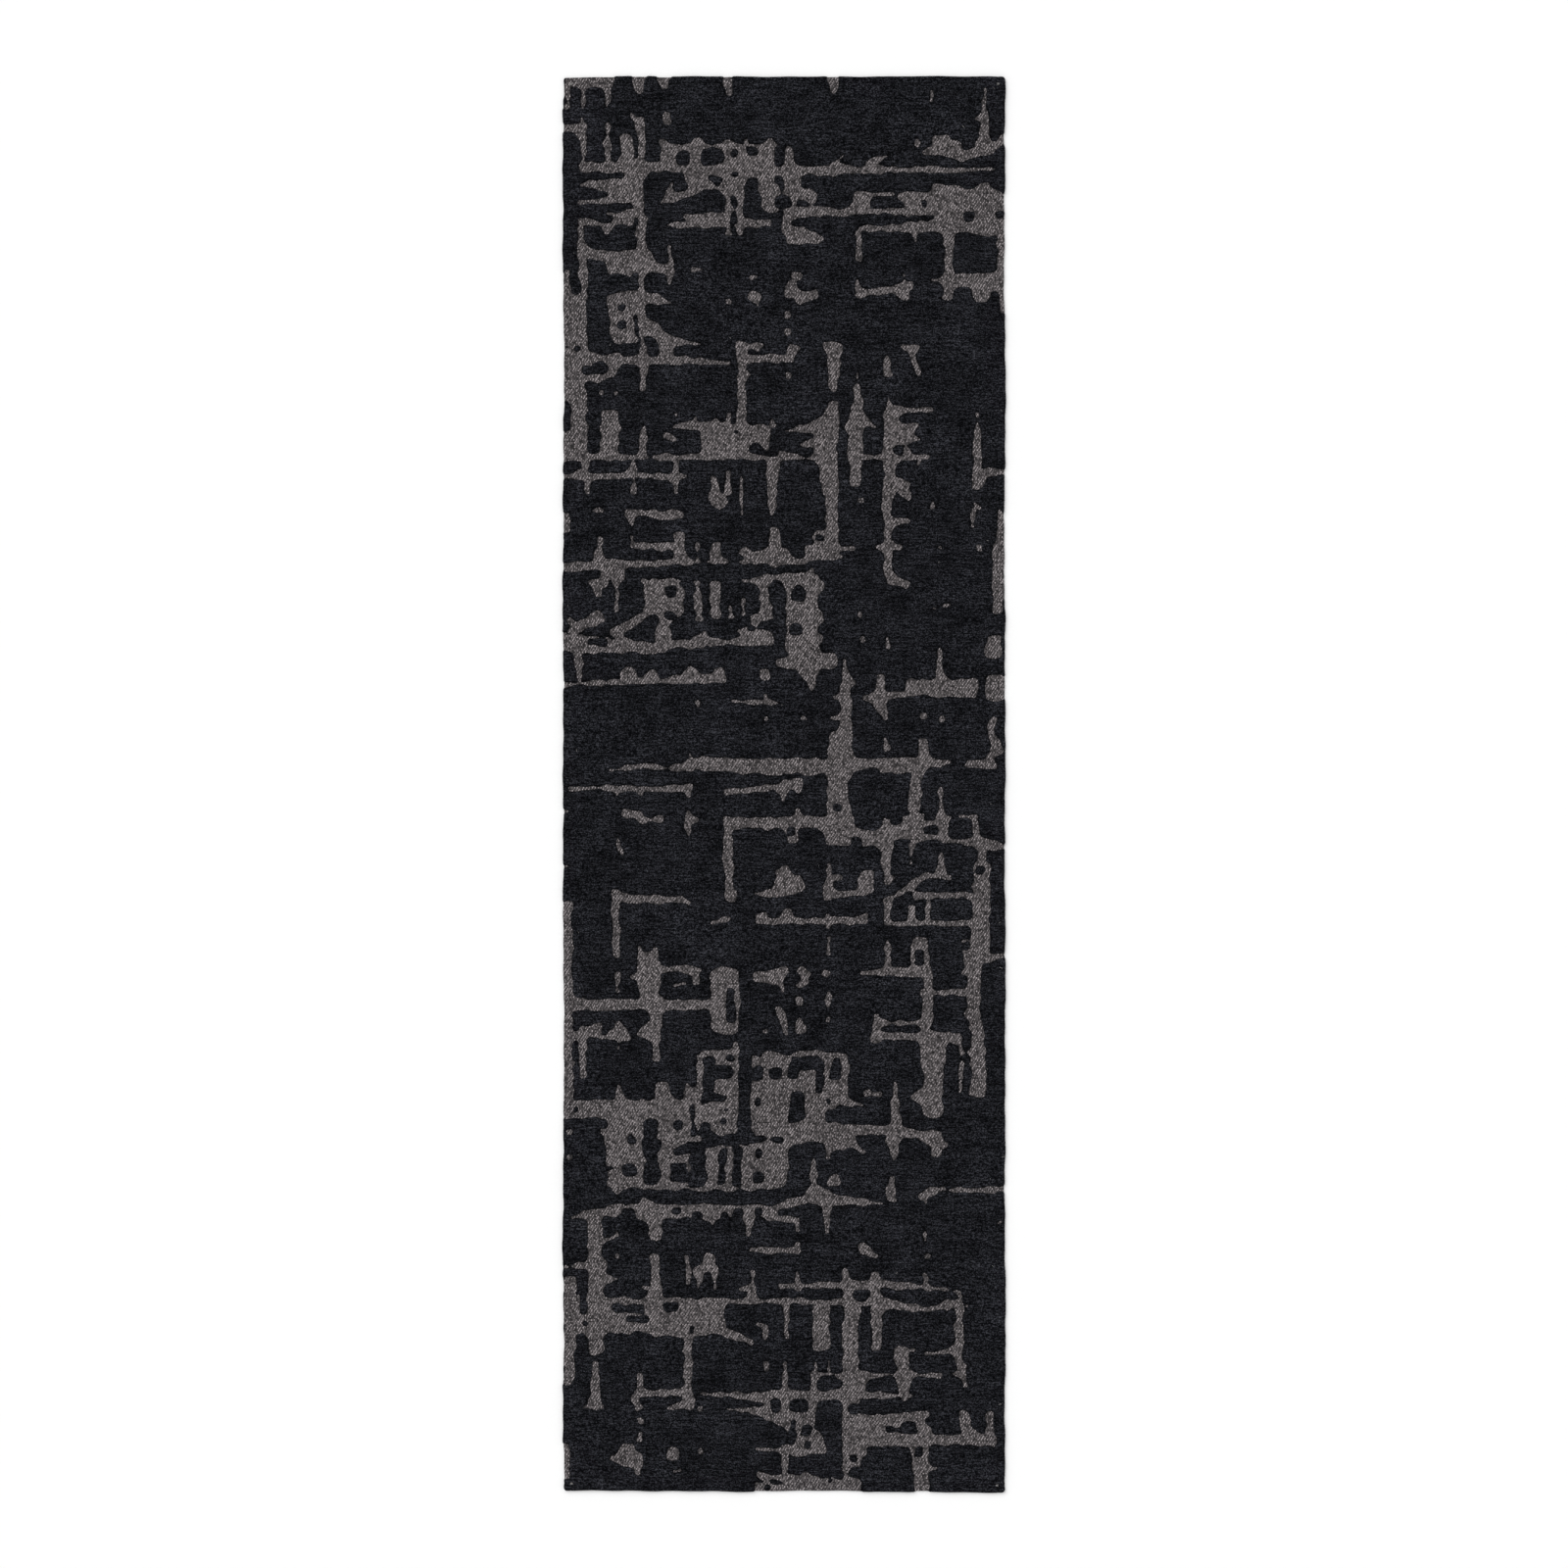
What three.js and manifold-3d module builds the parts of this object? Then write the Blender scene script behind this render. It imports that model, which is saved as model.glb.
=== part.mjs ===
// Runner rug, 75 x 240 cm: a flat jacquard-woven runner with a raised chenille pile.
//
// The body is a twill ground cloth. The pile stands on its face. The four edges of the cloth are
// turned under as hem flaps that meet in mitres at the corners. Each flap is held by a line of
// thread that passes through the pile, the cloth and the flap, and a tack closes each mitre.
// A latex coat covers the back between the hems, flush with them, so the rug lies flat.
//
// Units are millimetres and +Z is up. The width runs along X and the length along Y.
// The origin is the centre of the underside.

import * as THREE from "three";
import { mergeVertices } from "three/addons/utils/BufferGeometryUtils.js";
import Module from "manifold-3d";

const wasm = await Module();
wasm.setup();

// Driving dimensions of the rug
const rugWidth = 750;
const rugLength = 2400;
const cornerRadius = 6;

// The layers, from the floor up
const backThickness = 1.6; // the hem flaps and the latex coat
const clothThickness = 1.6;
const pileThickness = 2.2;
const layerGap = 0.05;
const pileOverhang = 1.5; // the pile reaches this far past the fold of the cloth
const pileBevel = 0.8;
const bevelSteps = 2;
const cornerSteps = 8;

// Hems
const hemWidth = 18;
const mitreGap = 0.3;
const latexGap = 1; // between the latex coat and the free edge of a hem flap

// Sewing thread
const seamInset = 13; // from the edge of the rug to the seam
const seamEndGap = 6; // a seam stops this far before the corner tack
const threadWidth = 1.2;
const threadRise = 0.8; // height of a run of thread
const threadSink = 0.3; // a run lies this far below the face that it crosses
const threadRoom = 0.3; // clearance all round the thread
const stitchPitch = 200;
const tackLength = 5;
const tackLegSpacing = 3;

// Levels worked out from the layers
const clothBase = backThickness + layerGap;
const pileBase = clothBase + clothThickness + layerGap;
const rugTop = pileBase + pileThickness;
const clothInset = pileOverhang;

const finishes = {
  chenille: { color: 0x1d1d20, roughness: 0.95 },
  groundWeave: { color: 0x625e5e, roughness: 0.9 },
  hemCloth: { color: 0x4a4747, roughness: 0.9 },
  latex: { color: 0x8c8a84, roughness: 0.8 },
  thread: { color: 0x26262a, roughness: 0.7 },
};

function materialFor({ color, roughness }) {
  return new THREE.MeshStandardMaterial({ color, roughness, metalness: 0 });
}

// A three.js geometry as a solid for joining and cutting
function solidFrom(geometry) {
  geometry.deleteAttribute("normal");
  geometry.deleteAttribute("uv");
  const merged = mergeVertices(geometry);
  return new wasm.Manifold(
    new wasm.Mesh({
      numProp: 3,
      vertProperties: new Float32Array(merged.attributes.position.array),
      triVerts: new Uint32Array(merged.index.array),
    }),
  );
}

function geometryFrom(solid) {
  const { vertProperties, triVerts } = solid.getMesh();
  const geometry = new THREE.BufferGeometry();
  geometry.setAttribute("position", new THREE.BufferAttribute(vertProperties, 3));
  geometry.setIndex(new THREE.BufferAttribute(triVerts, 1));
  geometry.computeVertexNormals();
  return geometry;
}

// The outline of the rug, drawn in by inset
function rugOutline(inset) {
  const x = rugWidth / 2 - inset;
  const y = rugLength / 2 - inset;
  const r = Math.max(cornerRadius - inset, 1);
  const outline = new THREE.Shape();
  outline.moveTo(-x + r, -y);
  outline.absarc(x - r, -y + r, r, -Math.PI / 2, 0);
  outline.absarc(x - r, y - r, r, 0, Math.PI / 2);
  outline.absarc(-x + r, y - r, r, Math.PI / 2, Math.PI);
  outline.absarc(-x + r, -y + r, r, Math.PI, 1.5 * Math.PI);
  return outline;
}

// A flat layer with its underside at base
function layer(outline, base, thickness) {
  const geometry = new THREE.ExtrudeGeometry(outline, {
    depth: thickness,
    bevelEnabled: false,
    curveSegments: cornerSteps,
  });
  return geometry.translate(0, 0, base);
}

// The pile, with its upper and lower rims rounded off
function pileLayer() {
  const geometry = new THREE.ExtrudeGeometry(rugOutline(0), {
    depth: pileThickness - 2 * pileBevel,
    bevelThickness: pileBevel,
    bevelSize: pileBevel,
    bevelOffset: -pileBevel,
    bevelSegments: bevelSteps,
    curveSegments: cornerSteps,
  });
  return geometry.translate(0, 0, pileBase + pileBevel);
}

// One turned-under hem flap, mitred at both ends. The edge that it belongs to is at edge from the
// origin and 2 * reach long, and place turns (along, out from the middle) into (x, y).
function hemFlap(edge, reach, place) {
  const outer = edge - clothInset;
  const inner = edge - hemWidth;
  const outerReach = reach - clothInset - mitreGap;
  const innerReach = outerReach - (outer - inner);
  const tip = cornerRadius / 2; // the rounded corner leaves no room for the sharp tip of the mitre
  const half = [
    [innerReach, inner],
    [outerReach - tip, outer - tip],
    [outerReach - 2 * tip, outer],
  ];
  const otherHalf = half.map(([along, out]) => [-along, out]).reverse();
  const corners = [...half, ...otherHalf].map(([along, out]) => place(along, out));
  const outline = new THREE.Shape(corners.map(([x, y]) => new THREE.Vector2(x, y)));
  return layer(outline, 0, backThickness);
}

function block(width, length, low, high) {
  const geometry = new THREE.BoxGeometry(width, length, high - low);
  return solidFrom(geometry.translate(0, 0, (low + high) / 2));
}

// A line of stitches along Y, centred on the origin: a run of thread on the face, a run on the back,
// and a leg through all the layers at each y in legs. Grown by room, it is the space that it lies in.
function stitchLine(length, legs, room) {
  const width = threadWidth + 2 * room;
  const above = room > 0 ? room + threadSink : 0;
  const faceTop = rugTop - threadSink;
  const runLength = length + 2 * room;
  const faceRun = block(width, runLength, faceTop - threadRise - room, faceTop + above);
  const backRun = block(width, runLength, threadSink - above, threadSink + threadRise + room);
  const leg = block(width, width, threadSink, faceTop);
  let solid = faceRun.add(backRun);
  for (const y of legs) {
    solid = solid.add(leg.translate([0, y, 0]));
  }
  return solid;
}

function seamLine(length, room) {
  const count = Math.round(length / stitchPitch);
  const first = (-length + threadWidth) / 2;
  const pitch = (length - threadWidth) / count;
  const legs = Array.from({ length: count + 1 }, (_, i) => first + i * pitch);
  return stitchLine(length, legs, room);
}

function tackLine(room) {
  return stitchLine(tackLength, [-tackLegSpacing / 2, tackLegSpacing / 2], room);
}

// Where every line of thread lies: its middle, its turn from Y in degrees, and its shape
const seamX = rugWidth / 2 - seamInset;
const seamY = rugLength / 2 - seamInset;
const longSeam = (room) => seamLine(2 * (seamY - seamEndGap), room);
const shortSeam = (room) => seamLine(2 * (seamX - seamEndGap), room);
const threads = [
  { name: "hem_seam_left", x: -seamX, y: 0, turn: 0, shape: longSeam },
  { name: "hem_seam_right", x: seamX, y: 0, turn: 0, shape: longSeam },
  { name: "hem_seam_front", x: 0, y: -seamY, turn: 90, shape: shortSeam },
  { name: "hem_seam_back", x: 0, y: seamY, turn: 90, shape: shortSeam },
  { name: "corner_tack_front_left", x: -seamX, y: -seamY, turn: 45, shape: tackLine },
  { name: "corner_tack_front_right", x: seamX, y: -seamY, turn: -45, shape: tackLine },
  { name: "corner_tack_back_left", x: -seamX, y: seamY, turn: -45, shape: tackLine },
  { name: "corner_tack_back_right", x: seamX, y: seamY, turn: 45, shape: tackLine },
];

function placedThread({ x, y, turn, shape }, room) {
  return shape(room).rotate([0, 0, turn]).translate([x, y, 0]);
}

const threadSpaces = threads.map((thread) => placedThread(thread, threadRoom));

// A layer with the space for every stitch cut out of it
function pierced(geometry) {
  let solid = solidFrom(geometry);
  for (const space of threadSpaces) {
    solid = solid.subtract(space);
  }
  return geometryFrom(solid);
}

const rug = new THREE.Group();

function addPart(name, geometry, finish) {
  const mesh = new THREE.Mesh(geometry, materialFor(finish));
  mesh.name = name;
  rug.add(mesh);
}

addPart("latex_backing", layer(rugOutline(hemWidth + latexGap), 0, backThickness), finishes.latex);
addPart("ground_weave", pierced(layer(rugOutline(clothInset), clothBase, clothThickness)), finishes.groundWeave);
addPart("chenille_pile", pierced(pileLayer()), finishes.chenille);

const endHem = [rugLength / 2, rugWidth / 2];
const sideHem = [rugWidth / 2, rugLength / 2];
const hems = {
  hem_back: hemFlap(...endHem, (along, out) => [along, out]),
  hem_front: hemFlap(...endHem, (along, out) => [along, -out]),
  hem_right: hemFlap(...sideHem, (along, out) => [out, along]),
  hem_left: hemFlap(...sideHem, (along, out) => [-out, along]),
};
for (const [name, flap] of Object.entries(hems)) {
  addPart(name, pierced(flap), finishes.hemCloth);
}

for (const thread of threads) {
  addPart(thread.name, geometryFrom(placedThread(thread, 0)), finishes.thread);
}

export default rug;
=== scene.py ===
import math
import random
import bpy
import numpy as np
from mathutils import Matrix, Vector


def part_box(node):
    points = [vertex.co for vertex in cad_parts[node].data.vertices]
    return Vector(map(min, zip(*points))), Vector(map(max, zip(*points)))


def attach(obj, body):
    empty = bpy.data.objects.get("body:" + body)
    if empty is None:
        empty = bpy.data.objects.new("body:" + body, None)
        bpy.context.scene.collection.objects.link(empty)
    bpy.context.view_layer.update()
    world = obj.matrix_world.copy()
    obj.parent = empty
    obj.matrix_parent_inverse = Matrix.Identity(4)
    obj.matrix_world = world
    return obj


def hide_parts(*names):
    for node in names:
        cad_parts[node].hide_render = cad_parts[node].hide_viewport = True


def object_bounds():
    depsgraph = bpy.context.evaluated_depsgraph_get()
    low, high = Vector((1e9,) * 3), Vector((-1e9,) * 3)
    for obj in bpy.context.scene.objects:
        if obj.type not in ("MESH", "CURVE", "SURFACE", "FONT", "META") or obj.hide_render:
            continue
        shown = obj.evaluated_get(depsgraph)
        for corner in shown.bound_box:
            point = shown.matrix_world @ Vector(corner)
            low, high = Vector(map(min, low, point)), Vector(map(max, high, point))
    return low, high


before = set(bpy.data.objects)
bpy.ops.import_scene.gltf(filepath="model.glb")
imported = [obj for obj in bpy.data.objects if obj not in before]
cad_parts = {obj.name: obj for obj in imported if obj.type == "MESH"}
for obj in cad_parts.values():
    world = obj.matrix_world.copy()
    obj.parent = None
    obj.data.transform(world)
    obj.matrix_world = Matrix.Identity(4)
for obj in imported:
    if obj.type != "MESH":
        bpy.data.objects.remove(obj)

cadLow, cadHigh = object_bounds()
mm = 0.001

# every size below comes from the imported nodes
clothLow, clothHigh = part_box("ground_weave")
latexLow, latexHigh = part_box("latex_backing")
flapLow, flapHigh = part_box("hem_left")
sideSeamLow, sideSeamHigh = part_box("hem_seam_right")
endSeamLow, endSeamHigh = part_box("hem_seam_back")
halfWidth = cadHigh.x
halfLength = cadHigh.y
hemWidth = flapHigh.x - flapLow.x
seamX = (sideSeamLow.x + sideSeamHigh.x) / 2
seamY = (endSeamLow.y + endSeamHigh.y) / 2

rugValues = {
    "cornerRadius": 6 * mm,
    "floorGap": 0.05 * mm,      # between the turned edge and the floor
    "sideWander": 0.9 * mm,     # how far the long edges wave in and out
    "endWander": 0.6 * mm,
    "frontSlope": 1.4 * mm,     # the front end is cut a little askew
    "lift": 0.35 * mm,          # how far the cloth rises off a flat floor
}
foldRadius = (clothHigh.z - rugValues["floorGap"]) / 2
foldHeight = clothHigh.z - foldRadius
startX = clothHigh.x - foldRadius
startY = clothHigh.y - foldRadius
startCorner = rugValues["cornerRadius"] - (halfWidth - startX)


def sway(place, seed, lengths, amount):
    # a smooth wander: a few sines of unlike lengths
    dice = random.Random(seed)
    total = 0.0
    for length in lengths:
        phase = dice.uniform(0, 2 * math.pi)
        total = total + np.sin(2 * math.pi * place / length + phase)
    return amount * total / math.sqrt(len(lengths))


def settle(points):
    # the rug's edges wave a little, and it doesn't lie dead flat
    x, y, z = points[:, 0], points[:, 1], points[:, 2]
    across = x / halfWidth
    along = y / halfLength
    v = rugValues
    # the phases, and so the shape of the waves, hang on the seeds 21 to 26
    left = sway(y, 21, (0.61, 0.27, 0.113, 0.047), v["sideWander"])
    right = sway(y, 22, (0.53, 0.31, 0.127, 0.053), v["sideWander"])
    front = sway(x, 23, (0.41, 0.19, 0.071), v["endWander"]) - v["frontSlope"] * across
    back = sway(x, 24, (0.47, 0.17, 0.083), v["endWander"])
    lift = sway(x + 0.6 * y, 25, (0.97, 0.61, 0.37), 1) * sway(y - 0.4 * x, 26, (1.3, 0.71, 0.43), 1)
    moved = np.empty_like(points)
    moved[:, 0] = x + (left * (1 - across) + right * (1 + across)) / 2
    moved[:, 1] = y + (front * (1 - along) + back * (1 + along)) / 2
    moved[:, 2] = z + v["lift"] * np.clip(0.5 + lift, 0, 1.5)
    return moved


# the figure is laid as tapered bars, in centimetres from the rug's centre:
# start x, start y, end x, end y, width at the start, width at the end
groundBars = (
    # top edge
    (-37, 119, -29, 119, 2.4, 2), (-36.7, 119, -36.7, 114.5, 1.2, 1), (-34, 118, -34, 114.5, 0.9, 0.5),
    (-30, 118, -30, 114.5, 1, 0.3), (-25, 120, -24.5, 117, 2.6, 0.8), (-20.5, 120, -20, 118, 1.8, 0.8),
    (-9.6, 120, -9.4, 116.8, 1.7, 0.7), (8.3, 120, 8.3, 117, 2, 0.9), (34, 118, 33.9, 112, 0.2, 1.4),
    (33.9, 112, 33.9, 107.4, 1.4, 3), (32.4, 112.9, 33.6, 112.6, 0.2, 0.9),
    (25, 117.5, 25, 115.5, 0.4, 0.4), (-26, 114, -24.6, 111, 0.5, 1.2), (-24.2, 113, -24.2, 86, 1.2, 1.2),
    (-19.8, 114, -19.8, 111.8, 1, 1.2),
    # upper left cluster
    (-37.5, 111.3, -33.5, 111.3, 1.2, 1.4), (-34.2, 113, -34.2, 110, 0.3, 1),
    (-34, 110, -34, 104.6, 1.8, 1.4), (-29.9, 112, -29.9, 110, 0.3, 1),
    (-29.9, 110, -29.9, 104.6, 1, 1.2), (-26.8, 110, -26.6, 104, 2.4, 3.2),
    (-34.5, 104.6, -20, 104.4, 1.2, 1.8), (-30, 99.6, -24, 99.6, 9.4, 9.6),
    (-34.6, 101.6, -29, 101.7, 0.6, 1.2), (-35, 98.6, -29, 98.8, 0.5, 1.4),
    (-34.8, 95.4, -29, 95, 1, 1.6), (-34.5, 94.6, -33.8, 84, 1.1, 1.4), (-30, 95, -30, 93.2, 2, 0.3),
    (-26, 90.4, -26, 92, 1.2, 0.3), (-34.5, 89.8, -30, 89.6, 1.6, 2.2), (-30, 88.4, -22, 88.6, 4, 3.6),
    (-27, 87, -26.8, 85, 3.4, 0.5), (-22, 87.6, -19.6, 87.4, 1.8, 1.4),
    (-19.4, 91.4, -19.4, 87.6, 0.3, 1.8), (-19.4, 87.6, -19.4, 84.8, 1.8, 0.3),
    # band of crosshatch
    (-21, 106.5, 1.6, 106.2, 4, 4.4), (-20.4, 109.4, -20, 106, 1, 2), (-2.4, 109.6, -2, 106, 0.8, 2),
    (-6.4, 109.6, -6.2, 106, 0.8, 2), (-20.5, 104.3, 0, 103.8, 1.6, 2.4),
    (-14.7, 109.6, -14.7, 104, 1.6, 2), (-9.6, 109, -9.4, 93, 1, 0.8), (-7.6, 108, -7.4, 93, 0.8, 0.8),
    (-2.4, 109, -2.2, 97, 2, 2.6), (-10, 101, -1, 101, 5, 5), (0.8, 108, 1.2, 98, 1.4, 2.2),
    (1, 102, 5.5, 99, 4, 1.5), (0, 104, 36, 104.2, 1.8, 0.5), (-20.6, 98, -18.8, 102, 1.4, 0.8),
    (-20.2, 98.4, -14, 100.6, 1.8, 1.6), (-16.6, 103.6, -14, 100.4, 1.4, 3),
    (-15, 102.4, -10, 102.2, 2.6, 3.2), (-17, 96, -10, 96.4, 0.8, 1.2), (-12, 100.8, -9, 100.4, 1.2, 2),
    (-20, 94.8, -2, 95.2, 1, 1.4), (0, 97, 25, 96.9, 1.8, 1.3), (11.6, 97, 13, 100.4, 1.4, 1.4),
    (13, 98.4, 14.4, 99.6, 3, 1.4), (13, 100, 18.6, 99.9, 1, 0.3), (19.4, 99.6, 25, 98.6, 1, 3.4),
    (-0.2, 96.6, 1, 93, 1.2, 1.6), (14, 105, 18.5, 107, 1.2, 0.4), (8.5, 105, 10.4, 107, 0.6, 0.5),
    (22.6, 109.5, 22.6, 107.8, 1, 1),
    # right top masses
    (23.3, 107, 26, 107.4, 0.3, 1.8), (25.2, 108.2, 28.4, 108.4, 3.2, 3.6),
    (28, 108, 31, 106.4, 3.6, 1.2), (30.6, 106.7, 35.6, 107.6, 1.6, 1.4),
    (35.6, 107.8, 37.4, 109.8, 1.2, 0.8), (25, 98, 37.5, 97.5, 7.5, 6.4), (27, 101, 28, 103, 1.6, 0.3),
    (34, 100.4, 34, 103, 2.4, 0.3), (25.2, 100.4, 30, 100.4, 2.6, 2), (22.4, 93.8, 22.4, 91.6, 1.4, 0.3),
    (28, 103, 28, 94, 0.6, 2), (34, 103, 34, 100, 0.4, 2), (12.6, 94.2, 30, 94.4, 0.9, 1.6),
    (12.6, 94, 12.8, 88.6, 1, 1.2), (12.9, 88.4, 13.8, 88.1, 0.8, 0.5), (28, 94.6, 28, 91, 3, 1.3),
    (28, 91, 28, 84, 1.2, 1.4), (36.9, 94, 36.9, 80, 1.6, 0.5), (28, 95, 37.5, 94, 2, 3),
    (27, 85.2, 37.5, 85.6, 2.2, 2.6), (25, 85.4, 28, 85.4, 0.3, 2), (28.6, 85, 27.6, 82, 2.4, 1.6),
    (33.6, 84.6, 33.4, 81.6, 3.6, 2.2), (31, 92.6, 31.4, 91.6, 1.6, 0.4), (12.4, 86.6, 12.6, 83, 0.4, 1),
    (12, 83, 22, 84.4, 0.9, 1.5), (20.4, 86.5, 20.6, 82, 0.4, 1.6), (0.5, 93.3, 5.5, 92.6, 3.2, 2.2),
    (5, 92.6, 6.8, 92.4, 2, 0.3),
    # small ones
    (-15.5, 87.3, -13.8, 87.2, 0.3, 0.4), (-6, 85.7, -4.4, 86, 0.9, 0.7), (-6, 83, -4, 82.2, 1.6, 2.4),
    (-4.4, 83, -4.4, 80.8, 1.6, 0.3), (-9.3, 82.2, -9.3, 81.4, 0.8, 0.7), (1.3, 86.4, 3, 85.8, 1.2, 1),
    (1.2, 85.5, 1.4, 82.5, 1.2, 2.4), (2, 82.3, 5.8, 83.2, 2.2, 1.4), (0.6, 80.2, 0.7, 79, 0.9, 0.9),
    (0.7, 76.9, 0.8, 76.4, 1, 0.9),
    # left column and its cells
    (-36.8, 87.2, -36.7, 83, 0.5, 1), (-36, 83, -36, 56, 3, 3.2), (-34.2, 84, -34.2, 72, 1.4, 1.6),
    (-31.2, 81.8, -27, 82.6, 0.3, 2.2), (-27, 82.6, -22, 82.3, 2.2, 2), (-22, 82.2, -18.6, 81.5, 2, 0.2),
    (-27.4, 83, -27.4, 75, 4.2, 3.8), (-27, 83.8, -26.8, 82.6, 0.4, 2.4), (-24, 90, -24, 66.5, 1.3, 0.6),
    (-24, 78, -19, 74.8, 2.6, 1.8), (-19, 75, -13.8, 74.5, 1.4, 0.2), (-35, 75.2, -25, 75.2, 1.4, 1.4),
    (-37, 72, -20, 72, 2, 1.7), (-20, 72, -9.2, 71.3, 1.7, 0.3), (-20, 75, -20, 72, 2.4, 2.4),
    (-34.8, 68.8, -30, 68.9, 1.2, 1), (-30, 68.9, -28, 71.4, 1, 1.6), (-24, 71.6, -24, 69, 2.4, 0.8),
    (-35.5, 66, -33.5, 66, 2, 2), (-31, 66.8, -31, 65.9, 0.9, 0.9), (-28.6, 66.6, -28.6, 65.6, 1, 1),
    (-20.7, 67.1, -20.7, 66, 0.8, 0.8),
    # hooks
    (-7.2, 75, -7.2, 60, 1.3, 1.3), (-6.8, 74.4, -3.4, 74.4, 1.2, 0.7), (-6.5, 72.2, 1, 72.2, 1, 1.2),
    (1, 71.6, 1.8, 74.6, 1, 2.2), (-6.6, 70, -5.8, 69.4, 1.2, 0.3), (-7.4, 64.6, -6.2, 64.6, 1, 0.4),
    (0.8, 69.8, 0.8, 68.6, 0.9, 0.8), (8.4, 74.4, 8.3, 66.5, 3, 0.8), (6.6, 74.5, 10.2, 74.4, 0.5, 0.5),
    (17.5, 73, 17.5, 69, 0.3, 1.6), (19.8, 74.3, 22.8, 73.6, 0.6, 1), (21.6, 73.4, 23, 68.6, 1, 0.8),
    (12.4, 70, 12.3, 62, 0.2, 2.4), (12.3, 62, 12, 50.4, 2.4, 1.6), (12.4, 62.4, 15.6, 60.4, 2.4, 0.3),
    (17.6, 65.8, 17.8, 62, 0.3, 2.2), (17.8, 62, 17.6, 35, 1.9, 1.2), (18, 63.4, 25.3, 63.3, 0.7, 0.8),
    (8.2, 64.8, 8.2, 38.5, 1.8, 2.2), (8, 64, 8, 60.4, 2.2, 3.4), (0, 59.9, 8, 61, 0.2, 3.2),
    (7.4, 61, 7.2, 54, 3.6, 4), (7.2, 54, 8.2, 48.6, 4, 2.4), (10.4, 60.4, 12, 60.4, 1.4, 1.4),
    # middle left hung lines
    (-34.6, 65, -34.6, 55, 2.2, 2.4), (-29.5, 63.4, -29.6, 55, 3, 3.2), (-23.8, 61, -23.8, 55, 0.5, 1.2),
    (-37.5, 55.3, 25, 55.4, 0.8, 0.9), (-18.4, 62, -18.4, 60.4, 0.3, 0.8),
    (-37.5, 52.2, -16.5, 52.2, 1, 0.9), (-33.6, 55, -33.4, 49, 1.2, 0.8),
    (-25.6, 55, -25.4, 49, 0.9, 0.7), (-18.3, 55, -18.3, 49, 0.8, 0.9), (-20.5, 59, -18, 58.4, 1, 0.6),
    (-18.4, 62.8, -17.6, 61, 0.2, 0.9), (-18, 60.9, -13, 60.8, 0.9, 1.6), (-14, 58.4, -2.4, 58.4, 5, 5.4),
    (-15, 60.8, -15, 62.2, 1.2, 0.3), (-11.6, 61, -11.6, 62.2, 1.8, 0.3),
    (-9.4, 61, -9.4, 62.8, 0.9, 0.3), (-2, 60.6, -2, 62, 1.4, 0.3), (2.4, 57.4, 7, 58.2, 0.3, 2.2),
    (-0.6, 56.6, -0.4, 55.4, 0.4, 0.6), (-11.2, 55, -11.2, 53, 0.3, 0.3),
    (-11.8, 52.4, -11.8, 48, 0.6, 2), (-9.4, 53, -9.4, 49, 0.6, 1.2), (-11.6, 48.6, -10, 47, 2.6, 2),
    (-7.2, 53, -7.1, 45.6, 0.5, 0.6), (-1.9, 55.4, -1.9, 45.6, 2.4, 1), (4, 51.2, 7.6, 51.2, 0.2, 3),
    (5, 42.4, 8, 40.6, 2, 2), (3.6, 39.3, 12.2, 40, 2.4, 0.6), (18.6, 60.6, 21.4, 59.6, 4.6, 3.8),
    (20, 60.9, 22.8, 60.8, 1.4, 0.3), (20, 58.6, 23, 58.3, 2, 0.3), (19.4, 56.6, 21.4, 56.4, 2.6, 1),
    (23.4, 55.8, 22.6, 54, 0.9, 0.4), (18, 55.3, 24, 55.4, 1.4, 0.6), (20, 50.6, 21.4, 48, 2.4, 1.2),
    (18, 52, 21, 50, 2, 2), (17.6, 44.6, 21.4, 44.5, 1.4, 0.6), (15.6, 40.2, 20, 40, 0.5, 0.8),
    (17.7, 35, 21.2, 33.6, 1.8, 1.3), (32.8, 63, 32.8, 50, 0.4, 2), (32.8, 53, 37.5, 53, 1.2, 0.7),
    (13, 48.6, 13, 47.8, 0.9, 0.9), (25.3, 48, 25.3, 46.6, 0.5, 0.6), (32.2, 47.8, 33.6, 46.8, 0.8, 0.6),
    (32.3, 47, 31.9, 43.6, 0.9, 0.4), (36.9, 47, 36.6, 40, 0.5, 2.2), (36.4, 40, 36.2, 29, 2.4, 1.4),
    (33, 40.6, 33, 39.6, 0.9, 0.8), (26.4, 40.3, 26.4, 39.9, 0.7, 0.7), (-27, 45.8, -17, 45.6, 1.3, 1.3),
    (-26, 45.5, -25.8, 43.4, 1, 0.5), (-32.6, 46.2, -30.6, 46.2, 0.3, 0.3),
    (-37, 46, -36.6, 42.6, 1.6, 1.2), (-31.2, 41.8, -31.5, 37, 0.4, 2.2),
    (-25.9, 42, -25.6, 40, 0.5, 0.9), (-25.6, 40.3, -17, 40.2, 0.9, 1.3),
    (-17.8, 42.6, -17.8, 38, 1.4, 2.4), (-14.7, 41, -14.7, 37.6, 0.4, 0.8),
    (-11.5, 41, -11.6, 37.6, 1.2, 2), (-7, 40, -5, 38, 1.8, 1), (-1.6, 43.6, -1.4, 40, 1.2, 2.4),
    (-5, 38.6, 1, 38.4, 1.5, 2.5), (-3, 40, -1, 37, 3, 2), (-37.5, 36.8, -14, 37.6, 1.6, 0.6),
    (-14, 37.6, 4, 37.8, 0.6, 0.7), (2, 38, 10, 38.6, 0.8, 0.8),
    # the panel of upright blocks
    (-29, 37.4, -29, 34.4, 3.2, 4.4), (-28.2, 35, -28.4, 28.8, 1.4, 0.4), (-33, 34, -30, 34, 0.6, 1.8),
    (-31.6, 34, -31.3, 31.6, 2.8, 0.8), (-24, 34.4, -16.8, 34.4, 0.8, 0.9),
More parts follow.
